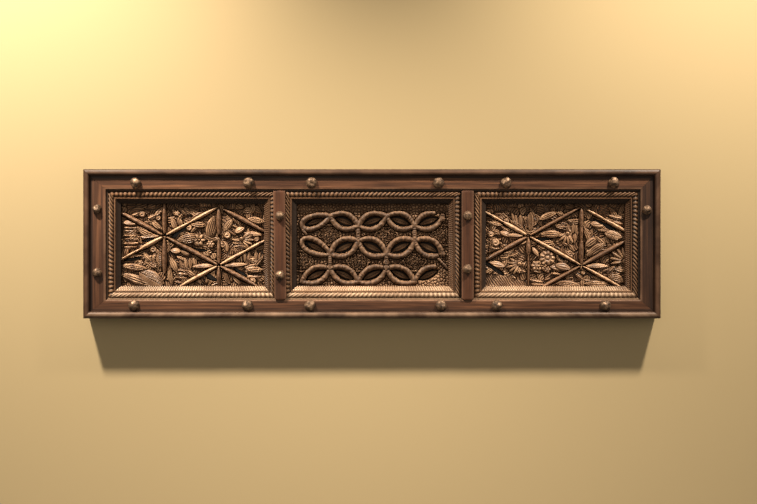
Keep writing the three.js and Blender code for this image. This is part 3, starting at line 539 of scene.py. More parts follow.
class Carving:
    """A board's surface as heights over the wall, on a fine grid inside its opening."""

    def __init__(self, corners, seed):
        (right, top), (left, bottom) = corners[0], corners[2]
        self.middle = np.array([(left + right) / 2, (top + bottom) / 2])
        self.size = np.array([right - left, top - bottom]) - BOARD_GAP
        self.cells = np.ceil(self.size / GRID_STEP).astype(int)
        self.across = np.linspace(-self.size[0] / 2, self.size[0] / 2, self.cells[0] + 1)
        self.upward = np.linspace(-self.size[1] / 2, self.size[1] / 2, self.cells[1] + 1)
        self.x, self.z = np.meshgrid(self.across, self.upward, indexing="ij")
        self.height = np.full(self.x.shape, float(HOLLOW) + 2)
        self.rng = np.random.default_rng(seed)
        self.drift = self.drifting(26)
        self.tone = np.zeros_like(self.x)
        self.grime_and_shade = 0.0
        self.bloom = 0.04
        self.wear_and_light = 1.0

    def shift(self, along):
        """Measures everything that is carved from now on from a point beside the middle."""
        self.across = self.across - along
        self.x = self.x - along

    def drifting(self, length):
        """A smooth field between about -1 and 1 that changes slowly over the board."""
        total = np.zeros_like(self.x)
        for _ in range(7):
            way = self.rng.uniform(0, 2 * math.pi)
            pace = 2 * math.pi / (length * self.rng.uniform(0.6, 1.6))
            start = self.rng.uniform(0, 6.28)
            total += np.sin((self.x * math.cos(way) + self.z * math.sin(way)) * pace + start)
        return total / 3.2

    def near(self, spots, reach):
        """The part of the grid around some points, so that small strokes stay quick."""
        low, high = np.min(spots, axis=0) - reach, np.max(spots, axis=0) + reach
        i = np.searchsorted(self.across, (low[0], high[0]))
        j = np.searchsorted(self.upward, (low[1], high[1]))
        return np.s_[i[0]:i[1], j[0]:j[1]]

    def pebbles(self, spacing):
        """Distance to the nearest and the next of many scattered points, over the spacing."""
        u, v = self.x / spacing + 50, self.z / spacing + 50
        i, j = np.floor(u).astype(int), np.floor(v).astype(int)
        shift = self.rng.uniform(0.12, 0.88, (i.max() + 3, j.max() + 3, 2))
        first = np.full(self.x.shape, 9.0)
        second = first.copy()
        for a in (-1, 0, 1):
            for b in (-1, 0, 1):
                spot = shift[i + a, j + b]
                away = np.hypot(i + a + spot[..., 0] - u, j + b + spot[..., 1] - v)
                second = np.minimum(second, np.maximum(first, away))
                first = np.minimum(first, away)
        return first, second

    def zones(self, spacing):
        """Splits the board into uneven patches: how near each point is to the middle of its own and
        the next, where it lies in its own, and four random numbers of its own."""
        u, v = self.x / spacing + 50, self.z / spacing + 50
        i, j = np.floor(u).astype(int), np.floor(v).astype(int)
        traits = self.rng.uniform(0, 1, (i.max() + 3, j.max() + 3, 6))
        first = np.full(self.x.shape, 9.0)
        second = first.copy()
        own = np.zeros(self.x.shape + (6,))
        for a in (-1, 0, 1):
            for b in (-1, 0, 1):
                cell = traits[i + a, j + b].copy()
                cell[..., 0] = u - (i + a + 0.1 + 0.8 * cell[..., 0])
                cell[..., 1] = v - (j + b + 0.1 + 0.8 * cell[..., 1])
                away = np.hypot(cell[..., 0], cell[..., 1] * (0.7 + 0.7 * cell[..., 5]))
                second = np.minimum(second, np.maximum(first, away))
                own = np.where((away < first)[..., None], cell, own)
                first = np.minimum(first, away)
        traits = np.moveaxis(own[..., 2:], -1, 0)
        return first, second, own[..., 0] * spacing, own[..., 1] * spacing, traits

    def leaf(self, start, end, width, crest, finish="lined", bend=0.0, tip=0.16, foot=GROUND, moat=1.4,
             hue=None):
        """A leaf-shaped stroke: widest in the middle and thin at both tips, with a cut round it.
        A shaft is round, and the other finishes have lines, veins or a smooth back."""
        start, end = np.array(start, float), np.array(end, float)
        way = end - start
        length = np.linalg.norm(way)
        if length < 1:
            return
        unit = way / length
        here = self.near([start, end], width / 2 + abs(bend) + 3)
        dx, dz = self.x[here] - start[0], self.z[here] - start[1]
        share = (dx * unit[0] + dz * unit[1]) / length
        kept = np.clip(share, 0, 1)
        off = dx * unit[1] - dz * unit[0] - bend * np.sin(math.pi * kept)
        blunt = 0.5 if finish == "shaft" else 0.8
        half = width / 2 * (tip + (1 - tip) * np.sin(math.pi * kept) ** blunt)
        beyond = np.maximum(share - 1, -share) * length
        aside = np.abs(off) - half
        outside = np.where(beyond > 0, np.hypot(beyond, np.maximum(aside, 0)), aside)
        height = self.height[here]
        ditch = np.clip(1 - outside / moat, 0, 1) * (outside > 0)
        height = height - np.minimum(ditch * moat * 2, np.maximum(height - HOLLOW, 0))
        inside = outside <= 0
        part = off / np.maximum(half, 0.3)
        dome = np.sqrt(np.clip(1 - part ** 2, 0, 1))
        top = foot + (crest - foot) * (0.72 + 0.28 * np.sin(math.pi * kept))
        level = foot + (top - foot) * dome ** (0.8 if finish == "shaft" else 0.4)
        if finish == "shaft":
            level = level + 0.3 * np.sin(share * length / 2.3 + part * 2)
        elif finish == "lined":
            level = level + 1.3 * np.cos(math.pi * part * max(2, round(width / LINE_PITCH))) * dome
        elif finish == "veined":
            side_veins = np.cos(2 * math.pi * (share * length - np.abs(off) * 1.3) / VEIN_PITCH)
            level = level + 0.75 * side_veins * dome - 1.4 * np.exp(-(off / 0.8) ** 2)
        else:
            level = level + 0.5 * np.cos(math.pi * part * 3 + share * 2) * dome
        if finish != "shaft":
            level = level + 1.1 * part * dome
        self.height[here] = np.where(inside, np.maximum(height, level), height)
        hue = self.rng.uniform(*LEAF_HUES) if hue is None else hue
        self.tone[here] = np.where(inside & (level >= height), hue, self.tone[here])

    def curl(self, heart, radius, crest, turns=2.6, petals=0):
        """A tight scroll or a small rosette."""
        here = self.near([heart], radius + 2.5)
        dx, dz = self.x[here] - heart[0], self.z[here] - heart[1]
        away = np.hypot(dx, dz)
        angle = np.arctan2(dz, dx)
        edge = radius * (1 + 0.12 * np.cos(petals * angle)) if petals else radius
        outside = away - edge
        ditch = np.clip(1 - outside / 1.8, 0, 1) * (outside > 0)
        height = self.height[here] - ditch * 3
        rise = np.sqrt(np.clip(1 - (away / edge) ** 2, 0, 1))
        wave = np.cos(away / radius * 2 * math.pi * turns / 2 - (0 if petals else 1) * angle)
        if petals:
            wave = 0.5 * wave + 0.7 * np.cos(petals * angle) * (away > radius * 0.35)
        level = GROUND - 1 + (crest - GROUND + 1) * rise ** 0.4 + 1.1 * wave
        self.height[here] = np.where(outside <= 0, np.maximum(height, level), height)

    def fan(self, heart, length, first, last, count, width, crest):
        """Petals spread from a heart; through a whole turn they make a flower."""
        closed = last - first == 360
        for i in range(count):
            way = math.radians(first + (last - first) * i / (count if closed else count - 1))
            unit = np.array([math.cos(way), math.sin(way)])
            reach = length * (1 - 0.12 * abs(2 * i / max(count - 1, 1) - 1))
            self.leaf(heart + unit * length * 0.1, heart + unit * reach, width, crest, "smooth", tip=0.42,
                      moat=1.2)
        self.curl(heart, length * 0.17, crest + 1, turns=1)

    def bed(self):
        """The close foliage behind the arms: scored ground, and many small lined leaves that lie
        over each other on it."""
        first, second, dx, dz, (lean, bow, tilt, level) = self.zones(PATCH_SIZE)
        way = lean * 2 * math.pi
        u, v = dx * np.cos(way) + dz * np.sin(way), dz * np.cos(way) - dx * np.sin(way)
        scores = np.cos(2 * math.pi * (v + (bow - 0.5) * 0.09 * u ** 2) / SCORE_PITCH)
        edge = np.clip((second - first) * 5, 0, 1)
        rise = np.clip(0.25 * (tilt - 0.2) * u, -2.5, 2.5) + 2.4 * (level - 0.5)
        self.height = GROUND - 1 + edge * (3.2 + rise + 1.3 * scores)
        self.tone = 0.5 * (level - 0.35) * edge
        half = self.size / 2 - EDGE_MARGIN
        for _ in range(BED_LEAVES):
            heart = self.rng.uniform(-half, half)
            lean = self.rng.uniform(0, 2 * math.pi)
            length = self.rng.uniform(*BED_LEAF_LENGTHS)
            width = self.rng.uniform(*BED_LEAF_WIDTHS)
            unit = np.array([math.cos(lean), math.sin(lean)]) * length / 2
            level = BED_CREST + self.rng.uniform(-2, 1.5)
            if self.rng.uniform() < BED_ROSETTE_SHARE:
                radius = self.rng.uniform(*BED_ROSETTE_RADII)
                self.curl(heart, radius, level, petals=int(self.rng.choice([0, 0, 5])))
            else:
                bend = self.rng.uniform(-4, 4)
                self.leaf(heart - unit, heart + unit, width, level, "lined", bend, moat=1.0)

    def hatch(self, corners, level, lean, pitch):
        """Flat ground scored with close slanting lines, between four corners."""
        spots = np.array(corners, float)
        inside = np.full(self.x.shape, True)
        for a, b in zip(spots, np.roll(spots, -1, axis=0)):
            inside &= (b[0] - a[0]) * (self.z - a[1]) - (b[1] - a[1]) * (self.x - a[0]) >= 0
        lean = math.radians(lean)
        along = self.x * math.cos(lean) + self.z * math.sin(lean) + self.drift
        lines = np.cos(2 * math.pi * along / pitch)
        self.height = np.where(inside, level + 0.75 * lines, self.height)

    def slit(self, start, end, width, floor):
        """A narrow cut, widest in the middle, from the surface down to its floor."""
        start, end = np.array(start, float), np.array(end, float)
        way = end - start
        share = ((self.x - start[0]) * way[0] + (self.z - start[1]) * way[1]) / (way @ way)
        share = np.clip(share, 0, 1)
        away = np.hypot(self.x - start[0] - share * way[0], self.z - start[1] - share * way[1])
        away += 0.8 * self.drift
        half = width / 2 * (0.45 + 0.55 * np.sin(math.pi * share))
        cut = np.clip((half + 1.2 - away) / 1.6, 0, 1)
        sunk = np.minimum(self.height, self.height + (floor - self.height) * cut)
        self.height = np.where(cut > 0, sunk, self.height)

    def rod_level(self, route, width, crest, samples=36):
        """How far each point is from a curved rod, and how high the rod is there."""
        spots = np.array([route(k / samples) for k in range(samples + 1)])
        here = self.near(spots, width)
        x, z = self.x[here], self.z[here]
        nearest = np.full(x.shape, 1e9)
        along = np.zeros(x.shape)
        for k, (a, b) in enumerate(zip(spots, spots[1:])):
            way = b - a
            share = np.clip(((x - a[0]) * way[0] + (z - a[1]) * way[1]) / max(way @ way, 1e-9), 0, 1)
            away = np.hypot(x - a[0] - share * way[0], z - a[1] - share * way[1])
            along = np.where(away < nearest, (k + share) / samples, along)
            nearest = np.minimum(nearest, away)
        phase = self.rng.uniform(0, 6.28)
        half = width / 2 * (1 + 0.08 * np.sin(along * 9 + phase) + 0.06 * np.sin(along * 23 + phase))
        half *= 1 - 0.07 * self.drift[here]
        outside = nearest - half
        round_top = np.sqrt(np.clip(1 - (nearest / half) ** 2, 0, 1))
        droop = 0.8 * (1 - np.sin(math.pi * np.clip(along, 0.08, 0.92)))
        level = crest - half * 1.35 + half * 1.35 * round_top - droop
        level = level + 0.45 * np.sin(along * 41 + phase + 4 * self.drift[here]) * round_top
        return here, outside, level

    def make_mesh(self, board_low, board_high):
        """The grid as a mesh: a flat sheet with its points lifted, its edge drawn out under the
        moulding and back to the wall, and its back closed."""
        shape = bmesh.new()
        bmesh.ops.create_grid(shape, x_segments=int(self.cells[0]), y_segments=int(self.cells[1]),
                              size=0.5)
        bmesh.ops.scale(shape, verts=shape.verts, vec=(self.size[0], self.size[1], 1))
        edge = [line for line in shape.edges if line.is_boundary]
        grow = (board_high - board_low)[[0, 2]] / self.size
        for level in (-1, -2, -3):
            drawn = bmesh.ops.extrude_edge_only(shape, edges=edge)["geom"]
            verts = [part for part in drawn if isinstance(part, bmesh.types.BMVert)]
            for vert in verts:
                vert.co.z = level
            if level == -2:
                bmesh.ops.scale(shape, verts=verts, vec=(grow[0], grow[1], 1))
            edge = [line for line in shape.edges if line.is_boundary]
        bmesh.ops.contextual_create(shape, geom=edge)
        mesh = mesh_of(shape, "board")
        spots = points_of(mesh)
        cell = (spots[:, :2] / self.size + 0.5) * self.cells
        i = np.clip(np.rint(cell[:, 0]).astype(int), 0, self.cells[0])
        j = np.clip(np.rint(cell[:, 1]).astype(int), 0, self.cells[1])
        front = spots[:, 2] > -0.5
        level = np.where(front, self.height[i, j], np.where(spots[:, 2] < -2.5, 0, BOARD_THICKNESS))
        shift = (board_low + board_high) / 2
        centre = np.where((spots[:, 2] < -1.5)[:, None], shift[[0, 2]], self.middle)
        placed = np.column_stack([spots[:, 0] + centre[:, 0], -level, spots[:, 1] + centre[:, 1]]) * MM
        mesh.vertices.foreach_set("co", placed.ravel())
        mesh.update()
        hollow, rubbed = self.shade_and_wear()
        # Painted shade and grime, and wear and painted highlight, handed to the material.
        tell(mesh, "hollow", np.where(front, hollow[i, j], BACK_GRIME))
        tell(mesh, "rubbed", np.where(front, rubbed[i, j], 0))
        return mesh

    def shade_and_wear(self):
        """How dark each point of the grid is painted, as painted shade in creases and deep pits and as
        grime on the raised parts, and how pale, as wear and painted highlight, both from 0 to 1.
        """
        fine, broad = self.softened(1, 2), self.softened(4, 2)
        # Painted shade: creases, pits below the ground and broad hollows are painted darker.
        crease = np.clip((fine - self.height) / 1.1, 0, 1) * 0.6
        deep = np.clip((GROUND - 5 - self.height) / 3, 0, 1) + crease
        deep = deep + np.clip((broad - self.height - 1) / 9, 0, 0.2)
        # Wear and painted highlight: crests standing above their surroundings are painted paler.
        rubbed = np.clip((self.height - broad) / 6, 0, 0.5) + np.clip(self.height - fine, 0, 0.4)
        foliage = np.clip((self.height - GROUND + 1) / 3, 0, 1)
        rubbed = rubbed * np.clip(1.6 - (self.height - GROUND - 5) / 7, 0.35, 1)
        rubbed = rubbed + (self.tone + self.bloom) * foliage
        rubbed = rubbed * np.where(self.height > BED_CREST, self.wear_and_light, 1)
        rubbed = np.clip(rubbed * (0.75 + 0.45 * self.drift), 0, 1)
        stained = self.grime_and_shade * np.clip((self.height - GROUND - 3) / 3, 0.1, 1)
        stained = stained * np.clip(1 + 0.45 * self.drifting(9), 0.5, 1.4)
        return np.clip(deep + stained, 0, 1), rubbed

    def softened(self, reach, rounds):
        """The heights with each point levelled with those around it."""
        soft = self.height
        for _ in range(rounds):
            for axis in (0, 1):
                soft = sum(np.roll(soft, k * reach, axis) for k in (-2, -1, 0, 1, 2)) / 5
        return soft


STAR_ACROSS_SHARE = 0.38
STAR_UP_SHARE = 0.714
STAR_NODES = {"west": (-0.5, 0.15), "east": (0.5, -0.35), "north": (0.5, 0.65)}
STAR_SHIFT = {"left": -3.3, "right": 0}
WAYS = {"up": (0, 1), "down": (0, -1), "up_right": (1, 0.5), "down_right": (1, -0.5),
        "up_left": (-1, 0.5), "down_left": (-1, -0.5)}

# Arms of the stars: the node, the way to the next node, then each leaf's start, end and width.
LEFT_ARMS = [
    ("west", "up_right", (0.04, 0.48, 9), (0.45, 0.98, 10)),
    ("west", "down_right", (0.04, 0.97, 12)),
    ("west", "up", (0.04, 0.56, 12)),
    ("west", "down", (0.04, 0.64, 13)),
    ("west", "up_left", (0.04, 0.84, 12)),
    ("west", "down_left", (0.04, 0.46, 12), (0.42, 0.86, 7)),
    ("east", "up", (0.03, 0.43, 11), (0.53, 0.97, 14)),
    ("east", "up_right", (0.03, 0.52, 10), (0.47, 0.86, 9)),
    ("east", "down_right", (0.03, 0.72, 12)),
    ("east", "down", (0.04, 0.36, 11)),
    ("east", "down_left", (0.03, 0.74, 11)),
    ("north", "down_right", (0.08, 0.86, 12)),
]
RIGHT_ARMS = [
    ("west", "up_right", (0.03, 0.98, 10)),
    ("west", "down_right", (0.03, 0.98, 10)),
    ("west", "up_left", (0.04, 0.5, 12), (0.47, 0.84, 8)),
    ("west", "down_left", (0.04, 0.5, 12), (0.46, 0.86, 11)),
    ("west", "down", (0.05, 0.33, 12), (0.28, 0.84, 5)),
    ("east", "up", (0.03, 0.45, 12), (0.42, 0.72, 9), (0.66, 0.98, 12)),
    ("east", "up_right", (0.03, 0.86, 13)),
    ("east", "down_right", (0.03, 0.84, 9)),
    ("east", "down_left", (0.03, 0.84, 10)),
    ("north", "down_right", (0.1, 0.46, 8), (0.42, 0.86, 10)),
]

# Large leaves between the arms: both ends as shares of the star pitch, the width, and a finish
# where it isn't lined.
LEFT_LEAVES = [
    (-1.27, 0.38, -0.96, 0.37, 10, "smooth"), (-1.0, 0.3, -0.62, 0.14, 20),
    (-0.95, 0.13, -0.58, 0.16, 8, "smooth"), (-0.69, 0.48, -0.48, 0.66, 9, "veined"),
    (-0.73, 0.39, -0.57, 0.27, 9), (-0.37, 0.46, -0.27, 0.23, 10), (-0.25, 0.46, -0.18, 0.3, 9),
    (-0.27, 0.07, 0.18, 0.14, 18), (0.42, 0.49, 0.32, 0.1, 20), (-0.04, 0.36, 0.28, 0.33, 11),
    (0.79, 0.21, 0.97, 0.29, 11, "smooth"), (0.96, 0.2, 1.29, 0.17, 9, "smooth"),
    (0.59, 0.23, 0.75, 0.43, 12), (1.03, 0.44, 1.34, 0.39, 12), (0.02, -0.37, 0.42, -0.35, 8, "smooth"),
    (0.58, -0.35, 1.03, -0.33, 8, "smooth"), (1.0, -0.41, 1.31, -0.43, 12),
    (-1.29, -0.35, -0.82, -0.41, 12), (-1.32, -0.49, -0.69, -0.7, 15),
    (-0.96, -0.46, -0.54, -0.7, 28, "veined"), (-0.59, -0.12, -0.57, -0.39, 14, "veined"),
    (-0.39, -0.22, -0.27, -0.47, 11), (-0.39, -0.1, -0.2, -0.11, 10, "smooth"),
]
RIGHT_LEAVES = [
    (-1.27, -0.3, -0.94, -0.37, 12, "smooth"), (0.01, -0.34, 0.29, -0.41, 14, "smooth"),
    (0.94, 0.2, 1.27, 0.13, 16, "veined"), (0.67, 0.36, 0.98, 0.34, 13, "smooth"),
    (0.79, 0.11, 0.58, -0.03, 15), (0.96, 0.02, 0.61, -0.19, 17), (-1.23, 0.39, -0.99, 0.34, 9),
    (-1.04, 0.22, -0.82, 0.15, 10, "smooth"), (-0.9, 0.17, -0.58, 0.16, 8, "smooth"),
    (-0.27, 0.19, 0.14, 0.18, 13), (-0.3, 0.43, 0.04, 0.56, 12), (0.04, 0.56, 0.18, 0.48, 9),
    (-0.46, 0.23, -0.46, 0.56, 12), (-0.43, -0.04, -0.31, -0.2, 8, "smooth"),
    (-0.02, -0.64, 0.47, -0.69, 12), (0.56, -0.66, 1.05, -0.67, 12),
    (0.58, -0.36, 1.0, -0.36, 9, "smooth"), (1.01, -0.54, 1.32, -0.62, 16),
]

# Fans of petals: the heart, the petals' length, first and last direction in degrees, how many.
LEFT_FANS = [(0.92, 0.1, 26, -50, 40, 5), (0.14, 0.08, 15, 0, 360, 6)]
RIGHT_FANS = [(-0.67, -0.33, 27, 150, 240, 5), (0.24, 0.19, 24, 195, 300, 5), (-0.25, -0.36, 13, 0, 360, 6),
              (1.32, -0.28, 34, 100, 190, 5)]
FAN_PETAL_WIDTH = 6.5

# Deep slits beside the arms, given as the leaves are.
LEFT_SLITS = [(-0.41, 0.11, -0.11, 0.3, 7), (-0.91, 0.07, -0.59, 0.1, 7), (0.21, -0.49, 0.46, -0.61, 9),
              (0.79, -0.41, 1.0, -0.54, 7), (-1.25, -0.27, -0.96, -0.22, 5), (-0.18, -0.07, 0.27, -0.1, 6)]
RIGHT_SLITS = [(-1.29, -0.31, -0.97, -0.51, 8), (-0.38, 0.1, -0.04, 0.1, 6), (0.55, 0.03, 0.56, -0.23, 6),
               (0.76, 0.43, 1.17, 0.25, 7), (0.03, -0.11, 0.17, -0.25, 7)]

# Smaller strokes in millimetres from the middle of the opening: leaves with both ends, width and
# bend, and a finish where it isn't lined; scrolls and rosettes with middle, radius and petals.
LEFT_STROKES = [
    (-143, 37, -112, 36, 6, 1), (-144, 29, -111, 28, 7, -1), (-144, 20, -112, 20, 6, 1),
    (-144, 12, -110, 11, 7, -1), (-144, 3, -112, 4, 6, 1), (-143, -5, -116, -4, 6, 0),
    (-126, 62, -104, 72, 8, 2), (-110, 60, -88, 70, 8, -2), (-92, 56, -72, 66, 8, 2),
    (-40, 74, -22, 58, 8, 2), (-30, 78, -10, 62, 7, -2), (-16, 78, 2, 64, 8, 2),
    (-4, 74, 24, 60, 12, 3), (-26, 30, -8, 44, 6, 2), (-2, 25, 20, 42, 8, -3), (4, 45, 26, 50, 7, 2),
    (26, 52, 40, 22, 9, -5), (22, 10, 34, 30, 7, 4), (60, 56, 98, 36, 6, 2), (62, 48, 92, 20, 7, 3),
    (66, 12, 74, 30, 7, -3), (74, -14, 66, 8, 8, 3), (84, 12, 120, 14, 8, 4), (86, 4, 126, 4, 8, 2),
    (88, -4, 124, -8, 8, -3), (120, 52, 146, 50, 8, 2), (110, 44, 136, 34, 6, 0),
    (96, -14, 100, -36, 7, 3), (108, -12, 112, -36, 8, -2), (122, -12, 122, -38, 7, 2),
    (134, -12, 134, -40, 8, -2), (144, -16, 144, -40, 7, 1), (110, -46, 142, -50, 8, 2, "shaft"),
    (112, -56, 140, -58, 7, -2, "shaft"), (116, -66, 146, -66, 7, 2, "shaft"),
    (-44, -12, -24, -10, 9, 0, "shaft"), (-22, -12, -4, -20, 10, 1, "shaft"),
    (-24, -28, -18, -52, 7, 0), (-14, -28, -10, -52, 7, 0), (-4, -28, -2, -50, 7, 0),
    (6, -26, 10, -46, 8, 2), (-34, -52, -4, -54, 6, 1), (-34, -60, -6, -62, 6, 0),
    (-36, -68, -10, -70, 6, 0), (-36, -77, -14, -79, 6, 1), (-46, -46, -42, -84, 9, 1),
    (-78, -16, -70, -44, 10, 3, "veined"), (-100, -16, -84, -34, 8, 2), (-136, -26, -104, -22, 7, 1),
    (-88, -62, -58, -82, 9, -3), (44, -60, 30, -80, 9, 2, "smooth"), (70, -58, 80, -82, 9, 2),
    (86, -66, 104, -82, 8, 0), (4, -60, 20, -82, 8, 1),
]
LEFT_ROSETTES = [(12.9, 8.1, 11.5, 0), (39.4, 1.2, 8, 6), (-6, 36, 7, 0), (74, 20, 8, 0), (-104, 64, 7, 0),
                 (-30, 66, 6, 5), (128, -76, 7, 0), (-70, 56, 6, 0), (136, 12, 6, 0)]
RIGHT_STROKES = [
    (-143, 50, -110, 42, 8, 2), (-116, 42, -92, 26, 6, 1), (-90, 68, -80, 42, 6, 1),
    (-82, 62, -78, 28, 8, 0), (-72, 64, -70, 26, 8, 0), (-54, 64, -53, 30, 6, 0, "smooth"),
    (-51, 78, -41, 56, 7, 0), (-112, 72, -96, 56, 6, 2), (-140, 30, -124, 22, 7, 2),
    (-142, 14, -112, 12, 8, 4), (-142, 4, -110, 2, 8, -4), (-140, -4, -116, -8, 6, 1),
    (-114, -16, -86, -10, 8, 3), (-100, -22, -76, -16, 7, 3), (-36, 30, -4, 36, 6, 1),
    (-34, 22, -2, 26, 7, -1, "smooth"), (0, 42, 22, 38, 9, 2), (26, 44, 34, 26, 8, 2),
    (38, 46, 38, 24, 8, -2), (46, 42, 48, 20, 7, 2), (14, 6, 30, -2, 8, 0), (20, -12, 38, -26, 9, 2),
    (28, 2, 40, -14, 8, -2), (60, 40, 76, 22, 8, 3), (62, 30, 72, 6, 9, -2), (70, 24, 80, 0, 8, 2),
    (84, 36, 120, 32, 9, 2, "veined"), (84, 4, 108, -2, 7, 2), (66, -16, 90, -4, 8, -2),
    (114, 62, 144, 56, 8, 2), (116, 52, 144, 44, 8, 2), (92, -12, 118, -8, 7, 0),
    (92, -50, 112, -44, 7, 2), (98, -56, 124, -52, 7, -2), (110, -62, 136, -60, 8, 2),
    (-14, -42, 30, -50, 10, 3, "smooth"), (-8, -60, 12, -62, 5, 0), (-56, -72, -26, -78, 8, 1),
    (-50, -82, -20, -84, 7, 0), (-8, -78, 40, -80, 8, 1), (44, -62, 60, -74, 7, 0),
    (62, -74, 112, -78, 8, 2), (88, -62, 112, -70, 8, 0), (-30, -12, -4, -14, 7, 3, "shaft"),
    (-82, -46, -60, -58, 8, 1),
]
RIGHT_ROSETTES = [(-40, -43.8, 10, 6), (-16, -52, 7, 5), (-135, 22, 7, 0), (-125, 4, 9, 0), (30, 17, 5, 5),
                  (-76, -54, 6, 5), (128, 14, 6, 0), (56, 44, 5, 0), (-102, 50, 6, 0)]
RIGHT_HATCH = [(-146, -86), (-56, -86), (-58, -68), (-100, -64), (-128, -53), (-146, -58)]
HATCH_LEAN = 35
HATCH_PITCH = 4.4
RIGHT_BOWL = (-0.14, -0.22)
BOWL_RADIUS = 17
BOWL_HOLLOW_RADIUS = 9
BOWL_KNOB_RADIUS = 5
BOWL_LOBES = 9

# Strokes, leaves and arms are carved wider or narrower than they are listed by these shares.
STROKE_GROWTH = 1.2
LEAF_GROWTH = 1.25
ARM_GROWTH = 0.8

# Painted highlight and shade: arms that run across the light are painted paler, as lit, and the others
# darker, as shaded.
LIT_WAYS = {"left": ("up_right", "down_left"), "right": ("up_left", "down_right")}
LIT_ARM_HUE = 0.75
SHADED_ARM_HUE = -0.75


def carve_stars(name, seed, arms, leaves, fans, slits, strokes, rosettes):
    carving = Carving(openings[name], seed)
    pitch = np.array([STAR_ACROSS_SHARE, STAR_UP_SHARE]) * (carving.size + BOARD_GAP)
    carving.shift(STAR_SHIFT[name])
    carving.bed()
    if name == "right":
        carving.hatch(RIGHT_HATCH, GROUND + 1, HATCH_LEAN, HATCH_PITCH)
    for x1, z1, x2, z2, width, bend, *finish in strokes:
        level = FOLIAGE_CREST - 2.5 + carving.rng.uniform(-1.5, 1)
        carving.leaf((x1, z1), (x2, z2), width * STROKE_GROWTH, level, *(finish or ["lined"]), bend=bend,
                     tip=0.3, foot=GROUND + 1, moat=1.0)
    for x, z, radius, petals in rosettes:
        carving.curl((x, z), radius, FOLIAGE_CREST - 0.5, petals=petals)
    for x1, z1, x2, z2, width, *finish in leaves:
        carving.leaf(np.array((x1, z1)) * pitch, np.array((x2, z2)) * pitch, width * LEAF_GROWTH,
                     FOLIAGE_CREST, *(finish or ["lined"]), moat=1.2)
    for x, z, length, first, last, count in fans:
        carving.fan(np.array((x, z)) * pitch, length, first, last, count, FAN_PETAL_WIDTH, FOLIAGE_CREST)
    if name == "right":
        carve_bowl(carving, np.array(RIGHT_BOWL) * pitch)
    for x1, z1, x2, z2, width in slits:
        carving.slit(np.array((x1, z1)) * pitch, np.array((x2, z2)) * pitch, width, HOLLOW - 1)
    bars, hues = [], []
    for node, way, *parts in arms:
        start = np.array(STAR_NODES[node])
        for first, last, width in parts:
            bars.append(((start + np.array(WAYS[way]) * first) * pitch,
                         (start + np.array(WAYS[way]) * last) * pitch, width))
            # Painted highlight on arms across the light, painted shade on the rest.
            hues.append(LIT_ARM_HUE if way in LIT_WAYS[name] else SHADED_ARM_HUE)
    for start, end, width in bars:
        side = np.array([0.0, -1.0]) * (width * 0.36)
        carving.slit(start + side, end + side, width * 0.34, HOLLOW + 4)
    for (start, end, width), hue in zip(bars, hues):
        carving.leaf(start, end, width * ARM_GROWTH, ARM_CREST, "shaft", tip=0.25, foot=GROUND + 1,
                     moat=1.5, hue=hue)
    return carving


def carve_bowl(carving, centre):
    """The bowl of the large flower: a round lobed cup with a knob in its hollow middle."""
    away = np.hypot(carving.x - centre[0], carving.z - centre[1])
    way = np.arctan2(carving.z - centre[1], carving.x - centre[0])
    rise = np.sqrt(np.clip(1 - (away / BOWL_RADIUS) ** 2, 0, 1))
    cup = GROUND - 1 + 11 * rise ** 0.7 - 5 * np.clip(1 - (away / BOWL_HOLLOW_RADIUS) ** 2, 0, 1)
    cup += 1.3 * np.cos(BOWL_LOBES * way) * (away > BOWL_HOLLOW_RADIUS - 1)
    cup += 3.5 * np.clip(1 - (away / BOWL_KNOB_RADIUS) ** 2, 0, 1)
    ditch = np.clip(1 - (away - BOWL_RADIUS) / 2.5, 0, 1) * 5
    around = np.maximum(carving.height - ditch, np.minimum(carving.height, HOLLOW))
    carving.height = np.where(away < BOWL_RADIUS, np.maximum(carving.height, cup), around)


LOOP_START_SHARE = -0.466
LOOP_STEP_SHARE = 0.1858
ROWS = ({"at": 0.286, "rise": 0.059, "swell": 16.5}, {"at": -0.033, "rise": 0.082, "swell": 17.5},
        {"at": -0.368, "rise": 0.082, "swell": 15.5})
LOOPS_PER_ROW = 5
LAST_LOOPS = ({"upper": 0.74, "lower": 1}, {"upper": 1, "lower": 0.85}, {"upper": 0.78, "lower": 0})
WHOLE_LOOP = {"upper": 1, "lower": 1}
STRAY_ROD = ((0.437, -0.176), (0.495, -0.29))
ROD_WIDTH = 11
ROD_CREST = 29
LINK_WIDTH = 9
LENS_LEAF_CREST = 16
MEDALLION_SHARE = 0.152
MEDALLIONS = ((0, 1), (0, 3), (0, 5), (1, 2), (1, 4), (1, 0))
LINKS = ((0, 2), (0, 4), (1, 1), (1, 3))
THIN_ROD_WIDTH = 6
DOT_SPACING = 6.4
GRAIN_SPACING = 2.2
SCRIBBLE_PITCH = 5.2

# Knots and rosettes on the rods: the row, the crossing, how far above it, the radius.
KNOTS = ((0, 5, -5, 6.5), (1, 5, 0, 6.5), (1, 3, -17, 7), (2, 1, 3, 6), (0, 2, -10, 6), (0, 4, -14, 6),
         (2, 3, 2, 6))


def arch(share, blunt):
    """How far a loop's rod stands off the line between its crossings; a blunt one swells early."""
    return 1.9 * share ** 0.5 * (1 - share) ** 0.8 if blunt else 4 * share * (1 - share)


def bowed(start, end, swell, blunt, left):
    """The route of a bowed rod, of which only a share may be left."""
    way = end - start
    side = np.array([-way[1], way[0]]) / np.linalg.norm(way)

    def route(share):
        share = share * left
        return start + way * share + side * swell * arch(share, blunt)
    return route


def straight(start, end):
    return lambda share: start + (end - start) * share


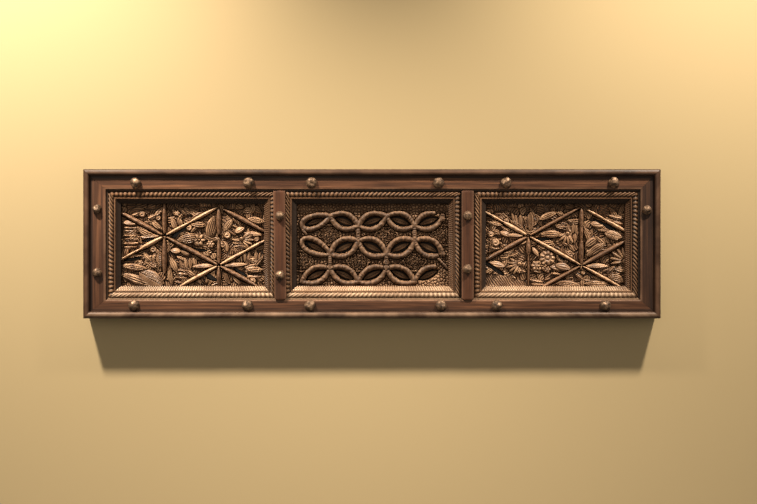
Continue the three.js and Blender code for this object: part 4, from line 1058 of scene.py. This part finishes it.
def carve_medallions(carving, centres, half, lumps):
    """Six-sided plates with a rim and a groove inside it, scribbled all over."""
    scribble = np.cos(2 * math.pi * (carving.x + 6 * carving.drifting(12)) / SCRIBBLE_PITCH)
    scribble *= np.cos(2 * math.pi * (carving.z + 6 * carving.drifting(12)) / SCRIBBLE_PITCH)
    for centre in centres:
        dx, dz = np.abs(carving.x - centre[0]), np.abs(carving.z - centre[1])
        six = np.maximum(dz / 0.866, dx + dz / 1.732)
        plate = GROUND + 4.2 + 2.0 * np.clip(scribble * 1.8, -1, 1) + 4 * np.clip(lumps, 0, 0.5)
        plate += 2.4 * np.exp(-((six - half + 1.8) / 1.3) ** 2)
        plate -= 2.4 * np.exp(-((six - half + 5.4) / 1.4) ** 2)
        plate += 1.4 * np.clip(1 - six / (half * 0.5), 0, 1) ** 0.4
        ditch = np.clip(1 - (six - half) / 2, 0, 1) * 3
        carving.height = np.where(six < half, plate, carving.height - ditch)
        pale = 0.2 + 0.2 * np.clip(scribble * 2, -1, 1)
        carving.tone = np.where(six < half, pale, carving.tone)


def carve_lens(carving, start, end, swell, blunt):
    """The deep lens inside a loop, with a veined leaf along its middle."""
    length = np.linalg.norm(end - start)
    way = (end - start) / length
    share = ((carving.x - start[0]) * way[0] + (carving.z - start[1]) * way[1]) / length
    off = (carving.x - start[0]) * way[1] - (carving.z - start[1]) * way[0]
    within = swell * arch(np.clip(share, 0, 1), blunt) - ROD_WIDTH / 2 - np.abs(off)
    pocket = np.clip(within / 2.5, 0, 1) * ((share > 0) & (share < 1))
    carving.height = carving.height + (HOLLOW - 1 - carving.height) * pocket
    carving.leaf(start + (end - start) * 0.2, start + (end - start) * 0.8, ROD_WIDTH, LENS_LEAF_CREST,
                 "veined", foot=HOLLOW)


def carve_rods(carving, rods):
    """Cuts in along both sides of every rod first, so that no rod is cut by a later one."""
    made = [carving.rod_level(route, width, ROD_CREST) for route, width in rods]
    for here, outside, _ in made:
        ditch = np.clip(1 - outside / 1.6, 0, 1) * (outside > -1)
        height = carving.height[here]
        carving.height[here] = height + np.minimum(GROUND - 4 - height, 0) * ditch
    for here, outside, level in made:
        height = carving.height[here]
        carving.height[here] = np.where(outside < 0, np.maximum(height, level), height)


def carve_loops():
    """Three rows of loops made of round rods, over medallions and a ground of dots."""
    carving = Carving(openings["centre"], 7)
    carving.grime_and_shade = 0.5
    carving.wear_and_light = 0.3
    carving.bloom = 0.06
    size = carving.size + BOARD_GAP
    dots, gap = carving.pebbles(DOT_SPACING)
    grain, _ = carving.pebbles(GRAIN_SPACING)
    carving.height = GROUND + 2 + 6 * np.clip(gap - dots, 0, 0.55) - grain + 0.5 * carving.drift

    def crossing(row, k):
        rise = ROWS[row]["rise"] if (row + k) % 2 == 1 else -ROWS[row]["rise"]
        return size * (LOOP_START_SHARE + k * LOOP_STEP_SHARE, ROWS[row]["at"] + rise)

    centres = [(crossing(row, k) + crossing(row + 1, k)) / 2 for row, k in MEDALLIONS]
    carve_medallions(carving, centres, size[1] * MEDALLION_SHARE, gap - dots)
    rods = []
    for row, k in [(row, k) for row in range(len(ROWS)) for k in range(LOOPS_PER_ROW)]:
        start, end = crossing(row, k), crossing(row, k + 1)
        blunt = k == 0 and row < 2
        swell = ROWS[row]["swell"]
        left = LAST_LOOPS[row] if k == LOOPS_PER_ROW - 1 else WHOLE_LOOP
        carve_lens(carving, start, end, swell, blunt)
        rods.append((bowed(start, end, swell, blunt, left["upper"]), ROD_WIDTH))
        if left["lower"]:
            rods.append((bowed(start, end, -swell, blunt, left["lower"]), ROD_WIDTH))
    rods += [(straight(crossing(row, k), crossing(row + 1, k)), LINK_WIDTH) for row, k in LINKS]
    stray = [np.array(spot) * size for spot in STRAY_ROD]
    corner = [crossing(0, 0) + (3, -9), crossing(1, 0) + (9, 14)]
    rods += [(straight(*ends), THIN_ROD_WIDTH) for ends in (stray, corner)]
    carve_rods(carving, rods)
    for row, k, above, radius in KNOTS:
        carving.curl(crossing(row, k) + (0, above), radius, ROD_CREST - 1, turns=1.4,
                     petals=6 if k == LOOPS_PER_ROW else 0)
    return carving


boards = {
    "left": carve_stars("left", 3, LEFT_ARMS, LEFT_LEAVES, LEFT_FANS, LEFT_SLITS, LEFT_STROKES,
                        LEFT_ROSETTES),
    "centre": carve_loops(),
    "right": carve_stars("right", 5, RIGHT_ARMS, RIGHT_LEAVES, RIGHT_FANS, RIGHT_SLITS, RIGHT_STROKES,
                         RIGHT_ROSETTES),
}
for name, carving in boards.items():
    sheen, polish = ((0.5, 0.66), 0.24) if name == "centre" else ((0.38, 0.52), 0.36)
    # Painted shade: the near-black hollow tone of creases and deep pits; the rubbed tone is wear and
    # painted highlight.
    carved_wood = grained_wood("carved_wood_" + name, CARVED_TONES, "x", rubbed=(0.36, 0.215, 0.12),
                               hollow=(0.016, 0.008, 0.004), sheen=sheen, polish=polish)
    low, high = node_box("panel_" + name)
    mesh = carving.make_mesh(low, high)
    finish_piece("carved_board_" + name, mesh, "panel_" + name, carved_wood)

# Dome nails: hammered from brass by hand, so each head has its own flats and dents. They pin the
# rails, stiles and straps, and are dull and brown with handling and wax.
NAIL_HEIGHT = 9.6
RAIL_NAIL_RADIUS = 12
STILE_NAIL_RADIUS = 10.3
SHANK_SIDE = 4
SHANK_LENGTH = 20
HAMMER_BLOWS = 12
NAIL_LUMP = 0.035


def old_brass():
    material = bpy.data.materials.new("old_brass")
    material.use_nodes = True
    tree = material.node_tree
    link = tree.links.new
    shader = tree.nodes["Principled BSDF"]
    shader.inputs["Metallic"].default_value = 0.6
    places = add_node(tree, "ShaderNodeTexCoord")
    spots = add_node(tree, "ShaderNodeTexNoise", Scale=140.0, Detail=6.0, Roughness=0.65)
    link(places.outputs["Object"], spots.inputs["Vector"])
    ramp = tone_ramp(tree, [(0.34, (0.022, 0.012, 0.007)), (0.52, (0.1, 0.058, 0.033)),
                            (0.7, (0.25, 0.16, 0.095))])
    link(spots.outputs["Fac"], ramp.inputs["Fac"])
    link(ramp.outputs["Color"], shader.inputs["Base Color"])
    link(stretched(tree, spots.outputs["Fac"], 0.35, 0.65, 0.72, 0.44), shader.inputs["Roughness"])
    dents = add_node(tree, "ShaderNodeTexVoronoi", Scale=260.0)
    link(places.outputs["Object"], dents.inputs["Vector"])
    bump = add_node(tree, "ShaderNodeBump", Strength=0.55, Distance=0.0008)
    link(dents.outputs["Distance"], bump.inputs["Height"])
    link(bump.outputs["Normal"], shader.inputs["Normal"])
    return material


brass = old_brass()
nail_nodes = sorted(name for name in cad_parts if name.startswith("nail_"))
for number, node in enumerate(nail_nodes):
    low, high = node_box(node)
    radius = RAIL_NAIL_RADIUS if node.startswith(("nail_top", "nail_bottom")) else STILE_NAIL_RADIUS
    seat = -(low[1] + NAIL_HEIGHT)
    centre = ((low[0] + high[0]) / 2, (low[2] + high[2]) / 2)
    rng = np.random.default_rng(100 + number)
    shape = bmesh.new()
    bmesh.ops.create_uvsphere(shape, u_segments=40, v_segments=28, radius=1)
    cut_through(shape, (0, 0, 0), (0, 0, -1), clear_outer=True)
    bmesh.ops.contextual_create(shape, geom=[line for line in shape.edges if line.is_boundary])
    mesh = mesh_of(shape, "nail")
    spots = points_of(mesh)
    flat = np.ones(len(spots)) * 1.03
    for _ in range(HAMMER_BLOWS):
        facing = rng.normal(size=3)
        facing[2] = abs(facing[2]) * 0.9 + 0.2
        facing /= np.linalg.norm(facing)
        over = spots @ facing - rng.uniform(0.88, 0.97)
        flat = np.where(over > 0, flat - over * rng.uniform(0.5, 1.3), flat)
    spots = spots * flat[:, None]
    lump = 1 + NAIL_LUMP * np.sin(3 * np.arctan2(spots[:, 1], spots[:, 0]) + rng.uniform(0, 6.28))
    reach = radius * 0.985 / (1 + NAIL_LUMP)
    placed = np.column_stack([centre[0] + spots[:, 0] * reach * lump,
                              -(seat + spots[:, 2] * (NAIL_HEIGHT - 0.4)),
                              centre[1] + spots[:, 1] * reach * lump]) * MM
    mesh.vertices.foreach_set("co", placed.ravel())
    mesh.update()
    shank = bmesh.new()
    shank.from_mesh(mesh)
    cube = bmesh.ops.create_cube(shank, size=1)["verts"]
    bmesh.ops.scale(shank, verts=cube, vec=(SHANK_SIDE * MM, SHANK_LENGTH * MM, SHANK_SIDE * MM))
    sunk = SHANK_LENGTH / 2 - seat - 0.5
    bmesh.ops.translate(shank, verts=cube, vec=(centre[0] * MM, sunk * MM, centre[1] * MM))
    bmesh.ops.recalc_face_normals(shank, faces=shank.faces)
    shank.to_mesh(mesh)
    shank.free()
    finish_piece("dome_" + node, mesh, node, brass)

# The stage: a pale plastered wall that the screen hangs on, and a floor far below it. The wall is
# seen and lit from its front alone.
WALL_HALF = 6.0
WALL_GAP = 0.0015
HOLE_INSET = 0.012
FLOOR_LEVEL = -2.2


def pale_plaster(name, tone, one_sided):
    material = bpy.data.materials.new(name)
    material.use_nodes = True
    tree = material.node_tree
    shader = tree.nodes["Principled BSDF"]
    shader.inputs["Base Color"].default_value = (*tone, 1)
    shader.inputs["Roughness"].default_value = 0.9
    if one_sided:
        side = add_node(tree, "ShaderNodeNewGeometry")
        clear = add_node(tree, "ShaderNodeBsdfTransparent")
        pick = add_node(tree, "ShaderNodeMixShader")
        tree.links.new(side.outputs["Backfacing"], pick.inputs[0])
        tree.links.new(shader.outputs["BSDF"], pick.inputs[1])
        tree.links.new(clear.outputs["BSDF"], pick.inputs[2])
        tree.links.new(pick.outputs["Shader"], tree.nodes["Material Output"].inputs["Surface"])
    return material


def stage_plane(name, turn, place, material, opened=False):
    """A large plane; where it is opened, a hole hidden behind the screen lets light reach its back."""
    shape = bmesh.new()
    bmesh.ops.create_grid(shape, x_segments=1, y_segments=1, size=WALL_HALF)
    bmesh.ops.transform(shape, matrix=Matrix.Translation(place) @ turn, verts=shape.verts)
    if opened:
        for way, reach in ((Vector((1, 0, 0)), cad_box[1][0]), (Vector((0, 0, 1)), cad_box[1][2])):
            for side in (-1, 1):
                cut_through(shape, way * side * (reach - HOLE_INSET), way)
        hidden = [face for face in shape.faces if face.calc_center_median().length < 0.01]
        bmesh.ops.delete(shape, geom=hidden, context="FACES")
    mesh = mesh_of(shape, name)
    mesh.materials.append(material)
    plane = bpy.data.objects.new(name, mesh)
    bpy.context.collection.objects.link(plane)


stage_plane("wall", Matrix.Rotation(math.radians(90), 4, "X"), (0, WALL_GAP, WALL_HALF + FLOOR_LEVEL),
            pale_plaster("wall_plaster", (0.31, 0.235, 0.122), True), True)
stage_plane("floor", Matrix.Identity(4), (0, WALL_GAP - WALL_HALF, FLOOR_LEVEL),
            pale_plaster("floor_plaster", (0.85, 0.82, 0.76), False))

# Lights: two soft spots high on the left and right, as over a picture, and a weak wide one in front.
# One more is behind the one-sided wall, where only the screen's back sees it.
LAMP_TONE = (1.0, 0.88, 0.72)
SPOT_CONE = 60
LAMPS = {
    "left_lamp": ((-1.05, -0.8, 1.6), (-0.55, 0, -0.08), 0.08, 625),
    "right_lamp": ((1.05, -0.8, 1.6), (0.55, 0, -0.08), 0.08, 450),
    "front_lamp": ((-0.6, -3.4, 0.9), (-0.1, 0, 0), 1.2, 105),
    "back_lamp": ((0.8, 3.0, 1.2), (0, 0, 0), 0.8, 160),
}
for name, (place, aim, size, power) in LAMPS.items():
    lamp = bpy.data.lights.new(name, "SPOT")
    lamp.shadow_soft_size = size
    lamp.spot_size = math.radians(SPOT_CONE)
    lamp.spot_blend = 1.0
    lamp.energy = power
    lamp.color = LAMP_TONE
    holder = bpy.data.objects.new(name, lamp)
    holder.location = place
    holder.rotation_euler = (Vector(aim) - Vector(place)).to_track_quat("-Z", "Y").to_euler()
    bpy.context.collection.objects.link(holder)
world = bpy.data.worlds.new("soft_sky")
world.use_nodes = True
world.node_tree.nodes["Background"].inputs["Color"].default_value = (1.0, 0.95, 0.86, 1)
world.node_tree.nodes["Background"].inputs["Strength"].default_value = 0.34
bpy.context.scene.world = world
bpy.context.scene.view_settings.view_transform = "Standard"

# The camera: it stands straight in front of the screen and looks level at it, a little right of
# and below its middle.
CAMERA_AT = (0.0137, -2.45, -0.017)
CAMERA_LENS = 55.0
camera = bpy.data.objects.new("camera", bpy.data.cameras.new("camera"))
camera.data.lens = CAMERA_LENS
camera.location = CAMERA_AT
camera.rotation_euler = (math.radians(90), 0, 0)
bpy.context.collection.objects.link(camera)
bpy.context.scene.camera = camera
